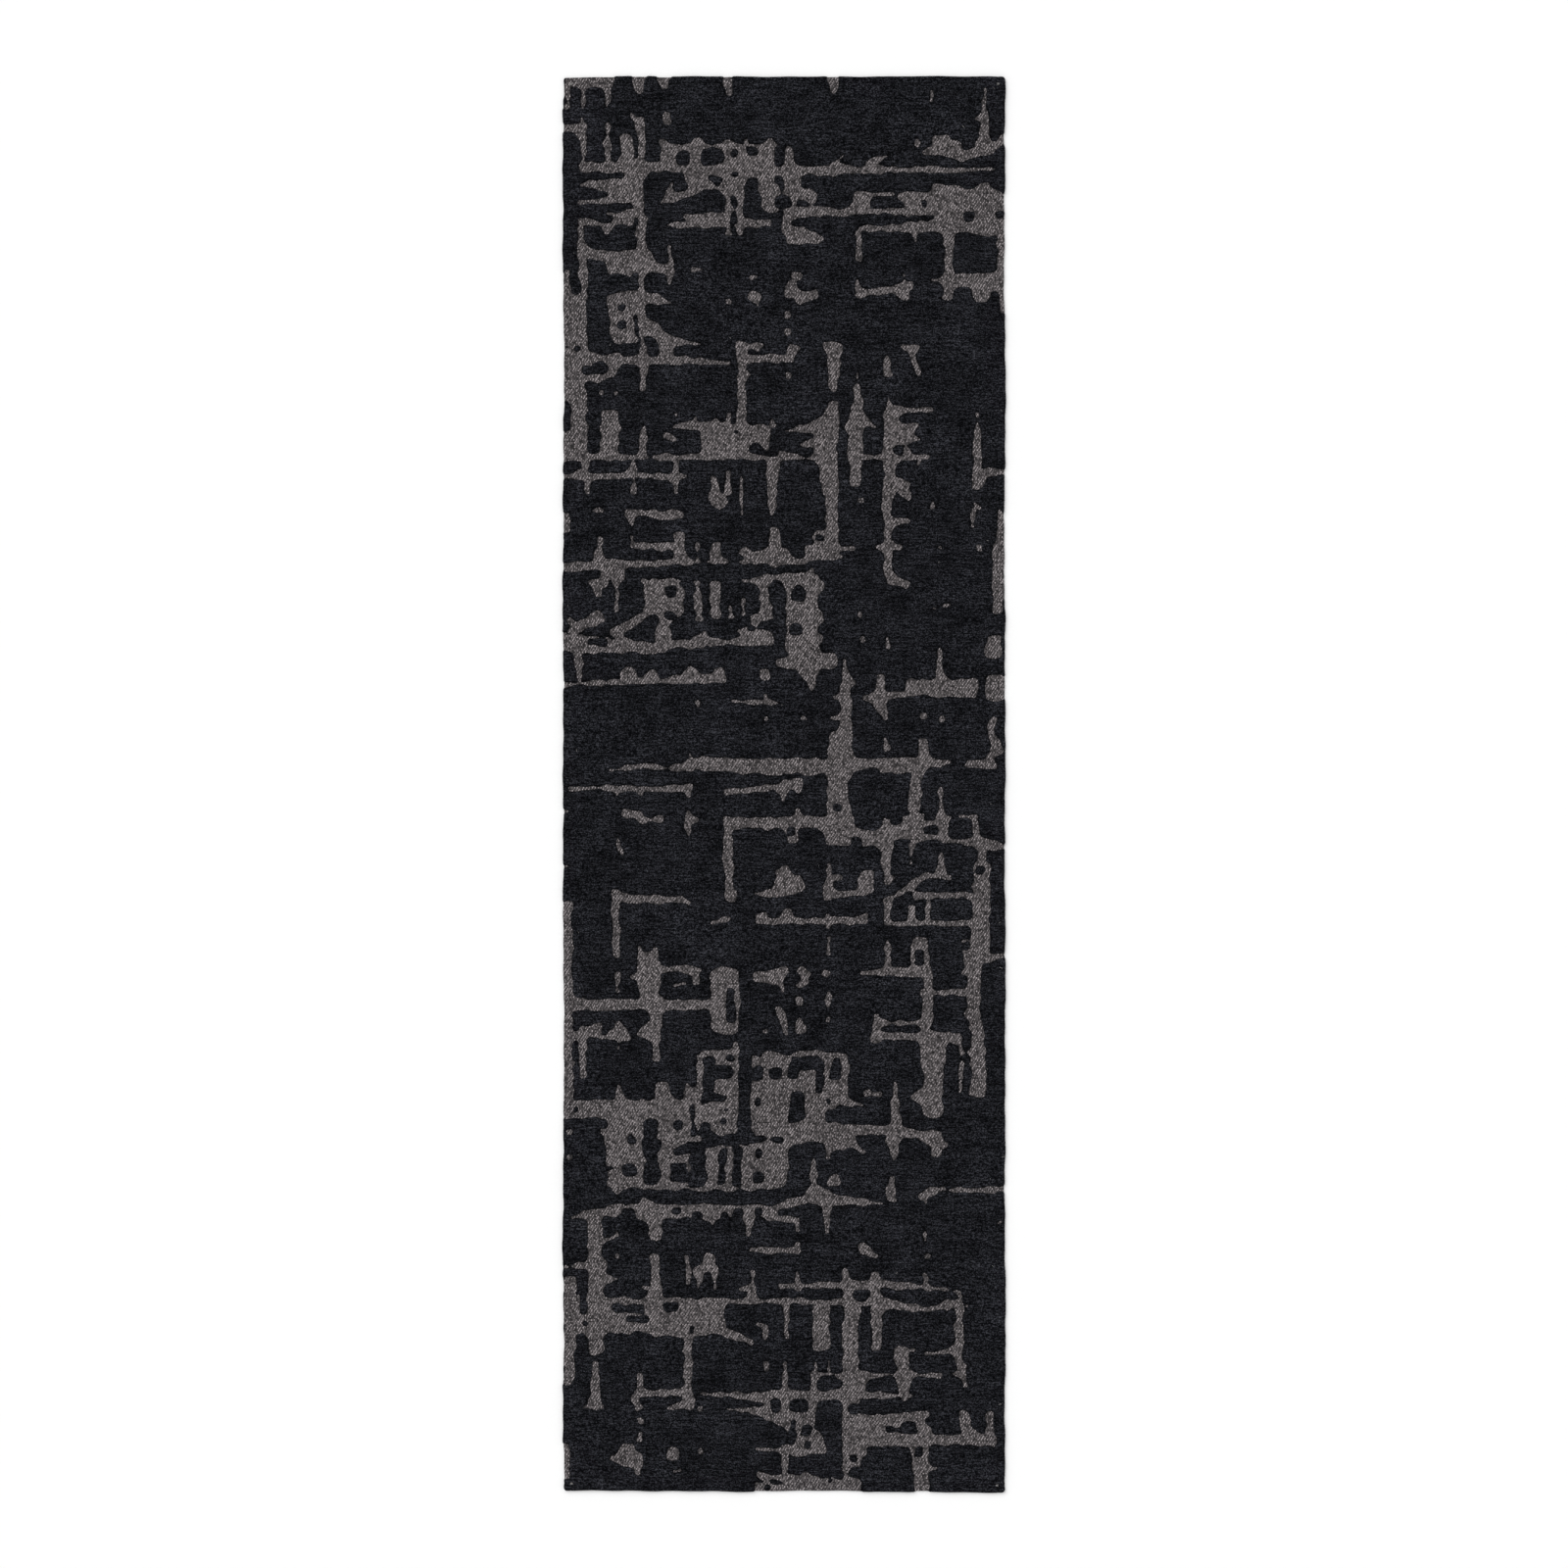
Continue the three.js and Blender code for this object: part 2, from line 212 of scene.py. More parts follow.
    (-20.3, 34.4, -20.3, 27.5, 7, 6), (-14.6, 34.4, -14.4, 27.6, 1, 1.3),
    (-11.6, 34.4, -11.6, 27.9, 1.7, 1.5), (-9.1, 30.6, -9, 28, 0.7, 1), (-6.8, 31.6, -6.8, 28, 0.6, 1.2),
    (-7, 34.4, -2, 35, 0.5, 1), (-3.6, 34.6, -3.5, 31, 1.2, 1.6), (-3.4, 31, -2.8, 28, 1.6, 3.6),
    (-4.4, 28.4, -6.4, 26.4, 1.4, 2.6), (-2, 35.2, 6, 34.8, 0.9, 1.6), (3, 35.6, 3, 22, 5.2, 5.4),
    (4.6, 33.4, 6.8, 33.5, 2.6, 1), (5, 28.4, 6.5, 28.4, 2.6, 1.6), (5, 24.6, 6.4, 24.6, 2.4, 1.4),
    (4.8, 36.8, 4.8, 35, 0.3, 1), (-1.4, 20.6, 9, 20.9, 1.8, 2.8), (3.6, 22, 4.8, 18, 5.4, 2.4),
    (4.8, 19, 4.5, 15.6, 2, 0.5), (-37.5, 23.8, -20, 23, 2.8, 1.8), (-20, 23.6, -1.6, 24.4, 1.4, 1.3),
    (-15.4, 24, -13, 25.4, 1.6, 1.2), (-37.5, 25.4, -30.6, 28.6, 0.6, 2.6),
    (-36.6, 28, -35.4, 27, 0.5, 0.5), (-29, 25.2, -22.6, 29, 2, 0.8), (-8, 26, -2, 25.4, 1.2, 2),
    (-20.6, 28, -20.4, 24, 2.2, 3), (-34.8, 23, -34.9, 17, 1.4, 0.8), (-37.5, 16.9, -30, 17.1, 0.6, 0.7),
    (-30, 17.2, -9.8, 17.8, 0.8, 1.4), (-26.4, 18, -26.4, 19.3, 3.4, 1.6),
    (-22.3, 18, -22.2, 19.3, 2.2, 0.8), (-16, 18, -15.4, 19.6, 2.8, 1.6), (-11, 18, -11, 19.7, 1.8, 2),
    (-3.4, 19.6, -3.2, 17.6, 1.5, 1.3), (-9, 14, -3.2, 13.9, 0.2, 1.2),
    (-3.2, 13.9, -0.2, 13.7, 1.2, 0.2), (-3.3, 15.4, -3.2, 12.6, 0.4, 0.4),
    (-14.8, 14, -14.5, 12.8, 0.5, 0.7), (-3.2, 11.4, -3.1, 10.6, 0.6, 0.7),
    (3, 11.3, 4.2, 10.8, 0.7, 0.5), (25.2, 29.6, 28.6, 30.6, 0.5, 0.3),
    (12.7, 29.4, 12.8, 28.2, 0.5, 0.7), (13, 25, 13.6, 24, 0.9, 0.9), (17.6, 25, 17.6, 22.8, 0.6, 0.6),
    (35.7, 25.2, 35.6, 21.4, 2.4, 3), (26.4, 23.4, 26.4, 17, 0.3, 1.6),
    (20.6, 16.4, 32.8, 16.3, 2.4, 3.4), (25, 17.4, 28, 17.6, 1, 1.4), (13.4, 14.7, 16.6, 14.9, 0.5, 2.8),
    (16.2, 18.6, 16.3, 15, 0.9, 2), (16.6, 15, 21, 15.4, 1.8, 0.7), (16.2, 14.2, 17.4, 10.8, 2.6, 1),
    (23.6, 12, 23.6, 11, 1, 1.5), (26.8, 11.6, 26.8, 10.6, 0.5, 0.7), (35.9, 18.6, 35.6, 14.2, 3.6, 3.2),
    (35.8, 11.4, 34.9, 10, 0.6, 0.8), (34.8, 10, 36.4, 5, 0.8, 2.2), (35, 5, 34.6, 3, 1.4, 1),
    (31, 3.5, 36, 3.4, 1, 1.3), (31.3, 5, 31.3, 3, 0.3, 1), (10.3, 21.2, 10.4, 15, 0.3, 2.2),
    (10.4, 15, 10.5, 4, 2, 1.8), (10.6, 17.3, 12.2, 17.2, 1.4, 0.3), (8.4, 14.7, 10.2, 14.8, 0.4, 1.8),
    (7.8, 11.2, 10.2, 11, 0.5, 1.3), (9, 9, 9.2, 4.6, 3, 3.8), (17, 8, 17.6, 5.8, 0.6, 0.9),
    (23.5, 7.6, 23.5, 3, 1, 2),
    # the long line across the middle
    (-29.5, 2.2, -24, 3, 0.2, 1.2), (-24, 3, -19, 2.6, 1.2, 0.4), (-19.4, 2.6, -13, 3.4, 0.8, 2.2),
    (-17, 3.4, 0, 3, 2, 2.8), (0, 3, 24, 3.2, 2.8, 2.6), (-16, 5.2, -15.6, 3.4, 0.3, 1.6),
    (24, 3.5, 28.4, 3.8, 1.8, 0.3), (22.6, 3, 22.1, -4.6, 1.6, 2.2), (-36.6, -0.7, -28, -0.8, 0.6, 0.9),
    (-28, -0.8, -16, -0.8, 0.8, 1.2), (-28.4, -0.8, -28.3, -2.2, 0.8, 0.4),
    (-24.3, -0.8, -24.3, -2, 0.8, 0.4), (-16.2, 0, -16.2, -2.4, 1.8, 0.5), (-10, -1.5, -4, -0.7, 0.6, 1),
    (-4, -0.7, 3.2, 0.3, 1, 1.3), (0.2, -0.2, -0.2, -3, 2.2, 0.7), (2.2, 0, 2.3, -1.6, 1.8, 0.4),
    (9.2, 2, 9.2, -10, 3.6, 4.2), (10.4, -0.2, 11.6, -2.4, 2.2, 1.8), (26.6, -0.4, 26.7, -5, 0.3, 1),
    (15.6, -0.4, 16.6, -2.8, 2, 0.5), (2.3, -4.2, 2.4, -6, 0.4, 1), (-10.4, -6.6, 7, -6.5, 1.9, 1.7),
    (-9.4, -6, -9.2, -18, 1.5, 1.3), (-9.2, -18, -8.8, -20, 2.4, 0.8), (1.2, -6, 1.4, -10, 2.6, 1.6),
    (7, -8, 18, -8.2, 4.4, 4), (18, -7.2, 33, -7.8, 4, 4.6), (31.8, -5.4, 32.4, -9, 0.8, 2),
    (32.6, -9.8, 37.5, -10.7, 2.2, 1), (32.2, -5, 32.2, -9.6, 1.2, 2), (17.4, -9.6, 17.6, -17, 2.2, 0.7),
    (17.8, -15.6, 18.8, -16, 0.8, 0.3), (21.6, -10, 21.6, -13.6, 1.4, 0.3),
    (26.7, -11.6, 26.6, -15.8, 0.3, 1.6), (33.6, -10, 33.6, -13, 1.2, 1), (33.6, -13, 33.2, -30, 2.6, 3),
    (30.6, -26.4, 32, -30, 1.4, 3), (32.2, -30, 32, -40, 2.6, 2), (32.6, -40, 33, -53, 2.4, 3),
    (0, -13.8, 0.6, -18.9, 1, 6.4), (2, -15.6, 3.4, -18, 1.4, 1.2), (-5, -18.6, -1, -18.4, 0.3, 1.6),
    (-1.5, -14.8, 0.4, -14.6, 0.6, 1.2), (7.6, -13.4, 7.6, -19.6, 0.5, 1.4),
    (8, -15.8, 9.9, -16, 1.4, 0.7), (7.6, -18.9, 14, -18.3, 1, 0.7), (14, -14.6, 14, -18.4, 2.4, 3.2),
    (7.4, -17, 7.4, -19.8, 1.6, 1.4), (-27.6, -5, -24.2, -5.5, 1.2, 1.7),
    (-25, -6.2, -20.8, -6.1, 1, 0.5), (-16.3, -4.4, -16.1, -7, 0.3, 2),
    (-16.4, -6.5, -14.4, -6.2, 2, 0.4), (-16.1, -7, -16.1, -9, 1.6, 0.4),
    (-28.2, -8.4, -28.2, -10.8, 0.3, 1.1), (-28.2, -10.4, -26.8, -13, 1, 0.4),
    (-28.4, -18, -28.4, -29.4, 1.4, 0.9), (-28, -19.6, -17, -19.7, 1.8, 1),
    (-18, -19.4, -16, -20.4, 0.9, 0.5), (-12.4, -23.8, -8.8, -22.6, 0.3, 1),
    (-4.8, -23.2, 14.4, -23.2, 1.1, 1), (-4.8, -22.5, -2.8, -22.4, 1.2, 1.3),
    (0.6, -21.4, 0.8, -23, 0.8, 3.4), (7.4, -22, 7.4, -24.6, 0.8, 0.6),
    (12, -22.8, 14.3, -22.6, 0.8, 1.5), (-37.5, -4.7, -36, -4.6, 0.3, 0.2),
    (-37.5, -14, -35, -13.9, 0.3, 0.2), (17.6, -19.4, 17.6, -24, 1.2, 1.1),
    (17.4, -19.8, 22, -17, 1, 1.2), (22, -17, 24, -15.6, 1.2, 1), (24, -15.6, 28.4, -15.8, 0.9, 0.6),
    (22, -18.9, 33, -18.8, 1.2, 1.2), (21.6, -20.6, 21.6, -24, 0.8, 1),
    (24.4, -19.6, 24.4, -24, 0.9, 0.8), (18, -23.7, 33, -23.6, 0.7, 1),
    (-36.7, -19.8, -36.6, -56, 1.6, 1.8), (7.6, -26, 7.5, -29, 0.5, 0.7), (7.5, -35, 7.5, -38, 0.5, 0.7),
    (6.6, -31.8, 7.6, -32.4, 1, 1.1), (7.4, -39.6, 7.4, -40.4, 0.6, 0.7),
    (17.5, -26, 17.6, -31, 0.3, 1.2), (13, -32, 18, -31.6, 0.4, 1.4), (18, -31.8, 24, -31.8, 1.4, 1.8),
    (23, -26, 23, -32, 2.6, 3.2), (24.2, -31, 24.3, -35, 1.4, 1.4), (24.3, -35, 24.3, -40.6, 1.2, 2.4),
    (23, -35.4, 31.6, -35.2, 1.2, 0.7), (33, -29.6, 37.3, -28.8, 2, 0.4), (30, -32, 32.6, -31, 0.4, 1.6),
    (30, -39.6, 33, -38.6, 0.4, 2), (15.6, -39, 15.8, -44, 0.6, 2.2), (15.6, -40.6, 25, -40.6, 1.2, 1.2),
    (16, -42.7, 27, -42.8, 1.2, 1.4), (25.4, -42, 25.2, -50, 5, 3.4), (25.2, -50, 25.2, -56.6, 3.4, 3.2),
    (29.4, -42.4, 29.8, -52.4, 1.6, 0.7), (21.4, -53, 26, -53.4, 0.8, 4.6),
    (27.6, -42.6, 30.6, -42, 1.2, 0.8), (13.6, -52.6, 16.4, -52, 0.8, 1.8),
    (18.9, -50.4, 18.8, -58, 0.4, 2.2), (6, -58.4, 19.6, -58.6, 2, 1.3), (19, -59, 24, -59.2, 1.3, 0.8),
    (-23.1, -28.6, -23, -32, 3, 4.2), (-23, -32, -22.8, -36.4, 4.4, 2.8),
    (-26, -33, -24, -32.8, 0.4, 1.6), (-24.4, -27.6, -24.2, -30, 0.4, 1),
    (-21.8, -27.8, -22, -30, 0.4, 1), (-21, -31.4, -15, -31.5, 1.3, 1.3),
    (-14.8, -31.4, -14.8, -34, 1.4, 1), (-19, -34.4, -16.6, -33.8, 0.4, 0.9),
    (-10, -31, -10, -42.4, 4.8, 4.4), (-37.5, -37.6, -12, -37.5, 1.8, 1.5),
    (-21.8, -36, -21.7, -47, 2.2, 1.2), (-25.2, -42.6, -21.8, -41.6, 0.6, 3.6),
    (-28, -40.2, -28, -43, 0.5, 3.6), (-28, -43, -28.2, -46, 1.4, 0.3), (-34.6, -42, -31, -42, 1.6, 2.2),
    (-31.4, -43, -26, -43.1, 0.7, 0.5), (-34.2, -42, -34, -50, 1.8, 0.8),
    (-28.2, -32, -28.2, -35.4, 1, 0.7), (-5.2, -32.8, 0.8, -32.4, 1.6, 3.2),
    (-0.6, -33.4, -0.2, -35.4, 2, 0.5), (2.4, -31.4, 4, -33, 0.9, 2), (4, -33, 2.2, -34.4, 1.4, 0.5),
    (2.4, -36, 2.4, -37.6, 1, 1.1), (-1, -37.6, 0.6, -42.6, 1.3, 0.7), (2.6, -39.6, 3, -42.2, 0.5, 2.2),
    (-3.2, -41.6, -3.2, -42.2, 0.6, 0.8),
    # lower centre panel
    (-2.4, -45.4, -2.4, -60.4, 6.6, 6), (4.4, -45.2, 4.4, -53, 7, 8), (9, -45.6, 9, -54, 3.4, 3.8),
    (5, -52, 4, -60.4, 9.4, 6.4), (-2.6, -59, -2.6, -62, 4.4, 6), (10, -53.6, 14, -54.9, 2, 0.5),
    (-14.3, -46, -14.4, -54, 0.9, 1), (-8.3, -43.6, -8.3, -56, 0.9, 1.7), (-14, -45.8, -8, -46, 0.8, 1.4),
    (-12, -47.2, -8, -47.2, 0.5, 0.7), (-12, -51.4, -8, -51.4, 2.4, 3), (-14, -54.6, -8, -54.4, 1, 1.4),
    (-37.5, -55.2, -14, -55, 3, 3), (-28, -51, -28, -54, 0.4, 1.6), (-20.7, -50.6, -20.6, -54, 2.2, 3),
    (-16.4, -50.8, -16.4, -54, 0.5, 1.2), (-30, -57, -8, -57.4, 4, 4), (-29, -56, -27, -68.5, 5, 4),
    (-30, -64, -3, -64.6, 9, 9), (-3.2, -60, -3.2, -68.6, 7.2, 7.8), (-30, -67.8, -16, -68, 1.2, 1.2),
    (-28.4, -68, -28.2, -70, 2.4, 0.4), (0, -61, 6, -59.4, 1.4, 1.4), (8.8, -59.4, 8.8, -61.8, 3.8, 3.4),
    (7.5, -61, 7.4, -63.6, 1.6, 0.4), (11, -60, 13.4, -62.6, 1.8, 0.4), (18.6, -58, 18.4, -61, 1.4, 2.6),
    (18.4, -61, 18.7, -64, 2.4, 0.5), (23, -59.4, 26.4, -60.8, 1.4, 3.4),
    (25.4, -58.8, 25.8, -63.2, 3.2, 1.2), (26, -61, 27.7, -61, 2, 0.3), (5, -62, 5, -68, 0.3, 1),
    (4, -69.4, 6.4, -69, 2.6, 2.4), (8.4, -66.4, 8.6, -68, 1.8, 2.6), (-36, -73.6, -27, -72, 0.4, 2),
    (-27, -72.6, -1, -72.3, 2.4, 1.6), (-24, -70.2, -23, -72, 0.6, 3), (-2, -72, 8, -69.8, 1.6, 1.4),
    (8, -70.4, 18, -71.2, 1.6, 0.5), (18.4, -66.4, 18.2, -70.8, 0.8, 1.8),
    (23, -70.2, 25.4, -69, 1.2, 1.6), (25, -69, 27.4, -68.4, 1.4, 0.6), (24.2, -69, 24, -71.6, 1, 0.4),
    (27, -68.8, 37.5, -68.5, 0.3, 1.1), (7.2, -69, 7.4, -76.2, 2, 0.5),
    (-21.8, -73, -21.8, -77.4, 3, 1.6), (-5.8, -73, -6, -76.6, 2, 0.7), (-3, -73, 2, -74, 1.4, 1),
    (2.2, -73.6, 2.3, -76, 1, 0.6), (-12, -73, -12, -75, 1.2, 0.6), (-9, -73, -9, -75.2, 0.8, 0.4),
    (-32, -73, -32, -84, 2.6, 2.4), (-31, -77.6, -28.4, -76.8, 0.8, 0.5),
    (-28.3, -75.6, -28.1, -77, 0.5, 0.9), (-28.2, -79.6, -28.2, -80.6, 0.7, 0.6),
    (-5.8, -79, 2.6, -79.2, 0.9, 1.2), (2.3, -77.8, 3, -79.6, 0.4, 0.8), (13, -77.8, 14, -79.4, 1, 1.8),
    (14, -79.2, 16, -80, 1.4, 0.4), (24, -75.2, 24, -77.6, 0.4, 0.5),
    (24.3, -79.8, 24.3, -80.4, 0.6, 0.5), (23.4, -83, 24.2, -84, 0.7, 0.5),
    (37, -74, 36.2, -74.5, 0.2, 0.3),
    # lower left cluster
    (-36.2, -83.6, -36.4, -102, 2, 1.4), (-37, -82, -30, -81.6, 0.4, 1.4), (-32, -82, -32, -97, 3.4, 2.6),
    (-31, -84, -28, -84, 2, 0.3), (-36, -90, -22, -90.4, 6, 6), (-21.8, -79.8, -21.8, -85, 1, 1.6),
    (-21.8, -85, -21.7, -88.6, 1.6, 3.4), (-24.4, -85.4, -22, -85.6, 0.3, 1),
    (-21.6, -88, -21.6, -94, 2, 2), (-22, -90.8, -10, -90.8, 6, 5.4), (-10, -93, -5.4, -94.6, 2, 0.6),
    (-31.9, -98.2, -32, -106, 0.8, 2.4), (-34.2, -105.8, -30.6, -105.8, 0.6, 0.8),
    (-16.4, -80, -16.3, -85, 0.5, 0.7), (-12.5, -79.5, -12.9, -82.6, 1.2, 3.4),
    (-14.2, -82, -14.7, -85.8, 1.5, 0.4), (-11.8, -81.6, -11.7, -86, 1.6, 0.5),
    (-22, -87.8, 2, -87.6, 1, 0.8), (-5.3, -82.4, -5.3, -88, 0.5, 1), (-7.6, -85.8, -5, -85.2, 0.4, 0.9),
    (-4.6, -91.4, -3.4, -91.8, 0.7, 1), (-3.2, -91.6, -3.2, -94.6, 1.2, 0.6),
    (-16.3, -94, -16.2, -106, 1.4, 1.4), (-25.4, -103.4, -16, -103.4, 1.2, 1),
    (-25.6, -103.6, -24.4, -106.2, 1, 1.4), (-24.4, -100, -24.4, -102.6, 0.7, 0.8),
    (-20, -106, -16, -105.2, 0.8, 1.6), (-14.2, -105.6, -14.2, -106.4, 0.7, 0.7),
    (-3.1, -97.8, -3, -99.6, 0.6, 0.8),
    # lower right frame
    (-1, -85.2, 16, -84.8, 0.8, 1.2), (16, -84.6, 29.4, -86, 1.2, 0.6), (2.2, -82.2, 2.2, -86, 0.4, 1.4),
    (10.4, -82, 10.4, -86, 0.8, 1.4), (15.4, -82.6, 15.4, -86, 1.4, 2), (0, -87.8, 17, -87.8, 0.9, 1.2),
    (17, -87.8, 24, -89.2, 1.2, 0.7), (24, -89.2, 30, -87.4, 0.7, 1.4), (29.4, -86, 31, -88.6, 0.8, 0.4),
    (0.4, -88, 0.4, -94, 0.9, 0.5), (6.2, -88, 6.4, -96, 2.8, 3), (11.2, -85, 11.4, -120, 2.6, 2.8),
    (15.7, -86, 15.6, -96, 2.2, 1.2), (29.7, -87, 29.7, -98, 1.2, 1.2), (29.7, -98, 31, -102, 1.6, 0.5),
    (23.8, -97, 27, -96.4, 0.4, 1), (27, -96.4, 29.8, -96, 1, 2.2), (28.2, -99.9, 30.6, -99.6, 0.3, 1.8),
    (19.9, -95.2, 19.9, -99, 3, 2), (20, -96, 22.2, -95.9, 1, 0.5), (19.9, -99, 20.4, -101.4, 2.2, 3),
    (20.4, -101, 20.3, -105.2, 2.4, 0.5), (5, -100.4, 26.6, -100.2, 0.8, 0.6), (12, -100, 12, -103, 5, 3),
    (-15, -103.4, -4, -103.8, 0.3, 1.4), (-4, -103.6, 14, -103.6, 1.6, 1.4),
    (14, -103.6, 23.4, -103.6, 1.2, 0.5), (0.1, -98, 0.2, -103, 0.3, 1.2),
    (5.1, -98, 5.4, -99.4, 0.5, 0.7), (5, -99.4, 5, -103.4, 0.4, 1.2), (7.6, -97.6, 7.6, -99.6, 0.5, 0.7),
    (-9.8, -106, 0, -106, 0.4, 2), (-6, -106, 2, -108.6, 1, 2), (2.8, -104, 2.8, -114, 5.8, 4),
    (-4.8, -112.8, 7.2, -112.8, 0.4, 1.4), (5, -110, 7, -112.6, 2, 0.8), (11, -108.6, 17, -108.8, 4, 3.2),
    (17, -108, 24.6, -106.8, 1.8, 0.9), (12, -111.2, 36, -111, 2.6, 1.3), (23, -108, 25, -111, 1.4, 2),
    (30.4, -106.2, 31.4, -110, 1, 2.6), (35, -106.2, 34.9, -112, 1, 1.6), (32, -111, 36, -111.4, 2, 1.6),
    (13, -112.6, 14, -113.6, 2, 0.6), (23, -111.6, 23.4, -120, 3, 2.6), (22, -116, 26, -116, 1.6, 0.5),
    (0, -112, 0.2, -118, 1, 1), (-4.6, -117, 10, -119.2, 0.6, 2.4), (-5, -119.3, 10, -119.3, 1.6, 1.6),
    (3, -117.4, 6, -118.6, 1.6, 2.4), (-24, -115, -29.6, -114.4, 3.6, 0.8),
    (-25.4, -113, -28, -113, 2.4, 1.6), (-25, -115, -25, -117.2, 1.6, 0.7),
    (-18.8, -112.6, -18.8, -114.8, 1.2, 2.4), (-18.8, -116.8, -17.4, -116.4, 0.5, 0.7),
    (-24.4, -107.6, -24.4, -108.6, 0.6, 0.7), (-24.3, -110, -24.3, -111.6, 0.5, 0.6),
    (-14.3, -112.6, -14.2, -113.6, 0.6, 0.7), (-36.8, -112, -36.9, -118, 0.9, 1),
    (-36.4, -63, -36.4, -63.8, 1, 0.8), (-36.4, -58.6, -36.4, -59.6, 0.9, 0.9),
)
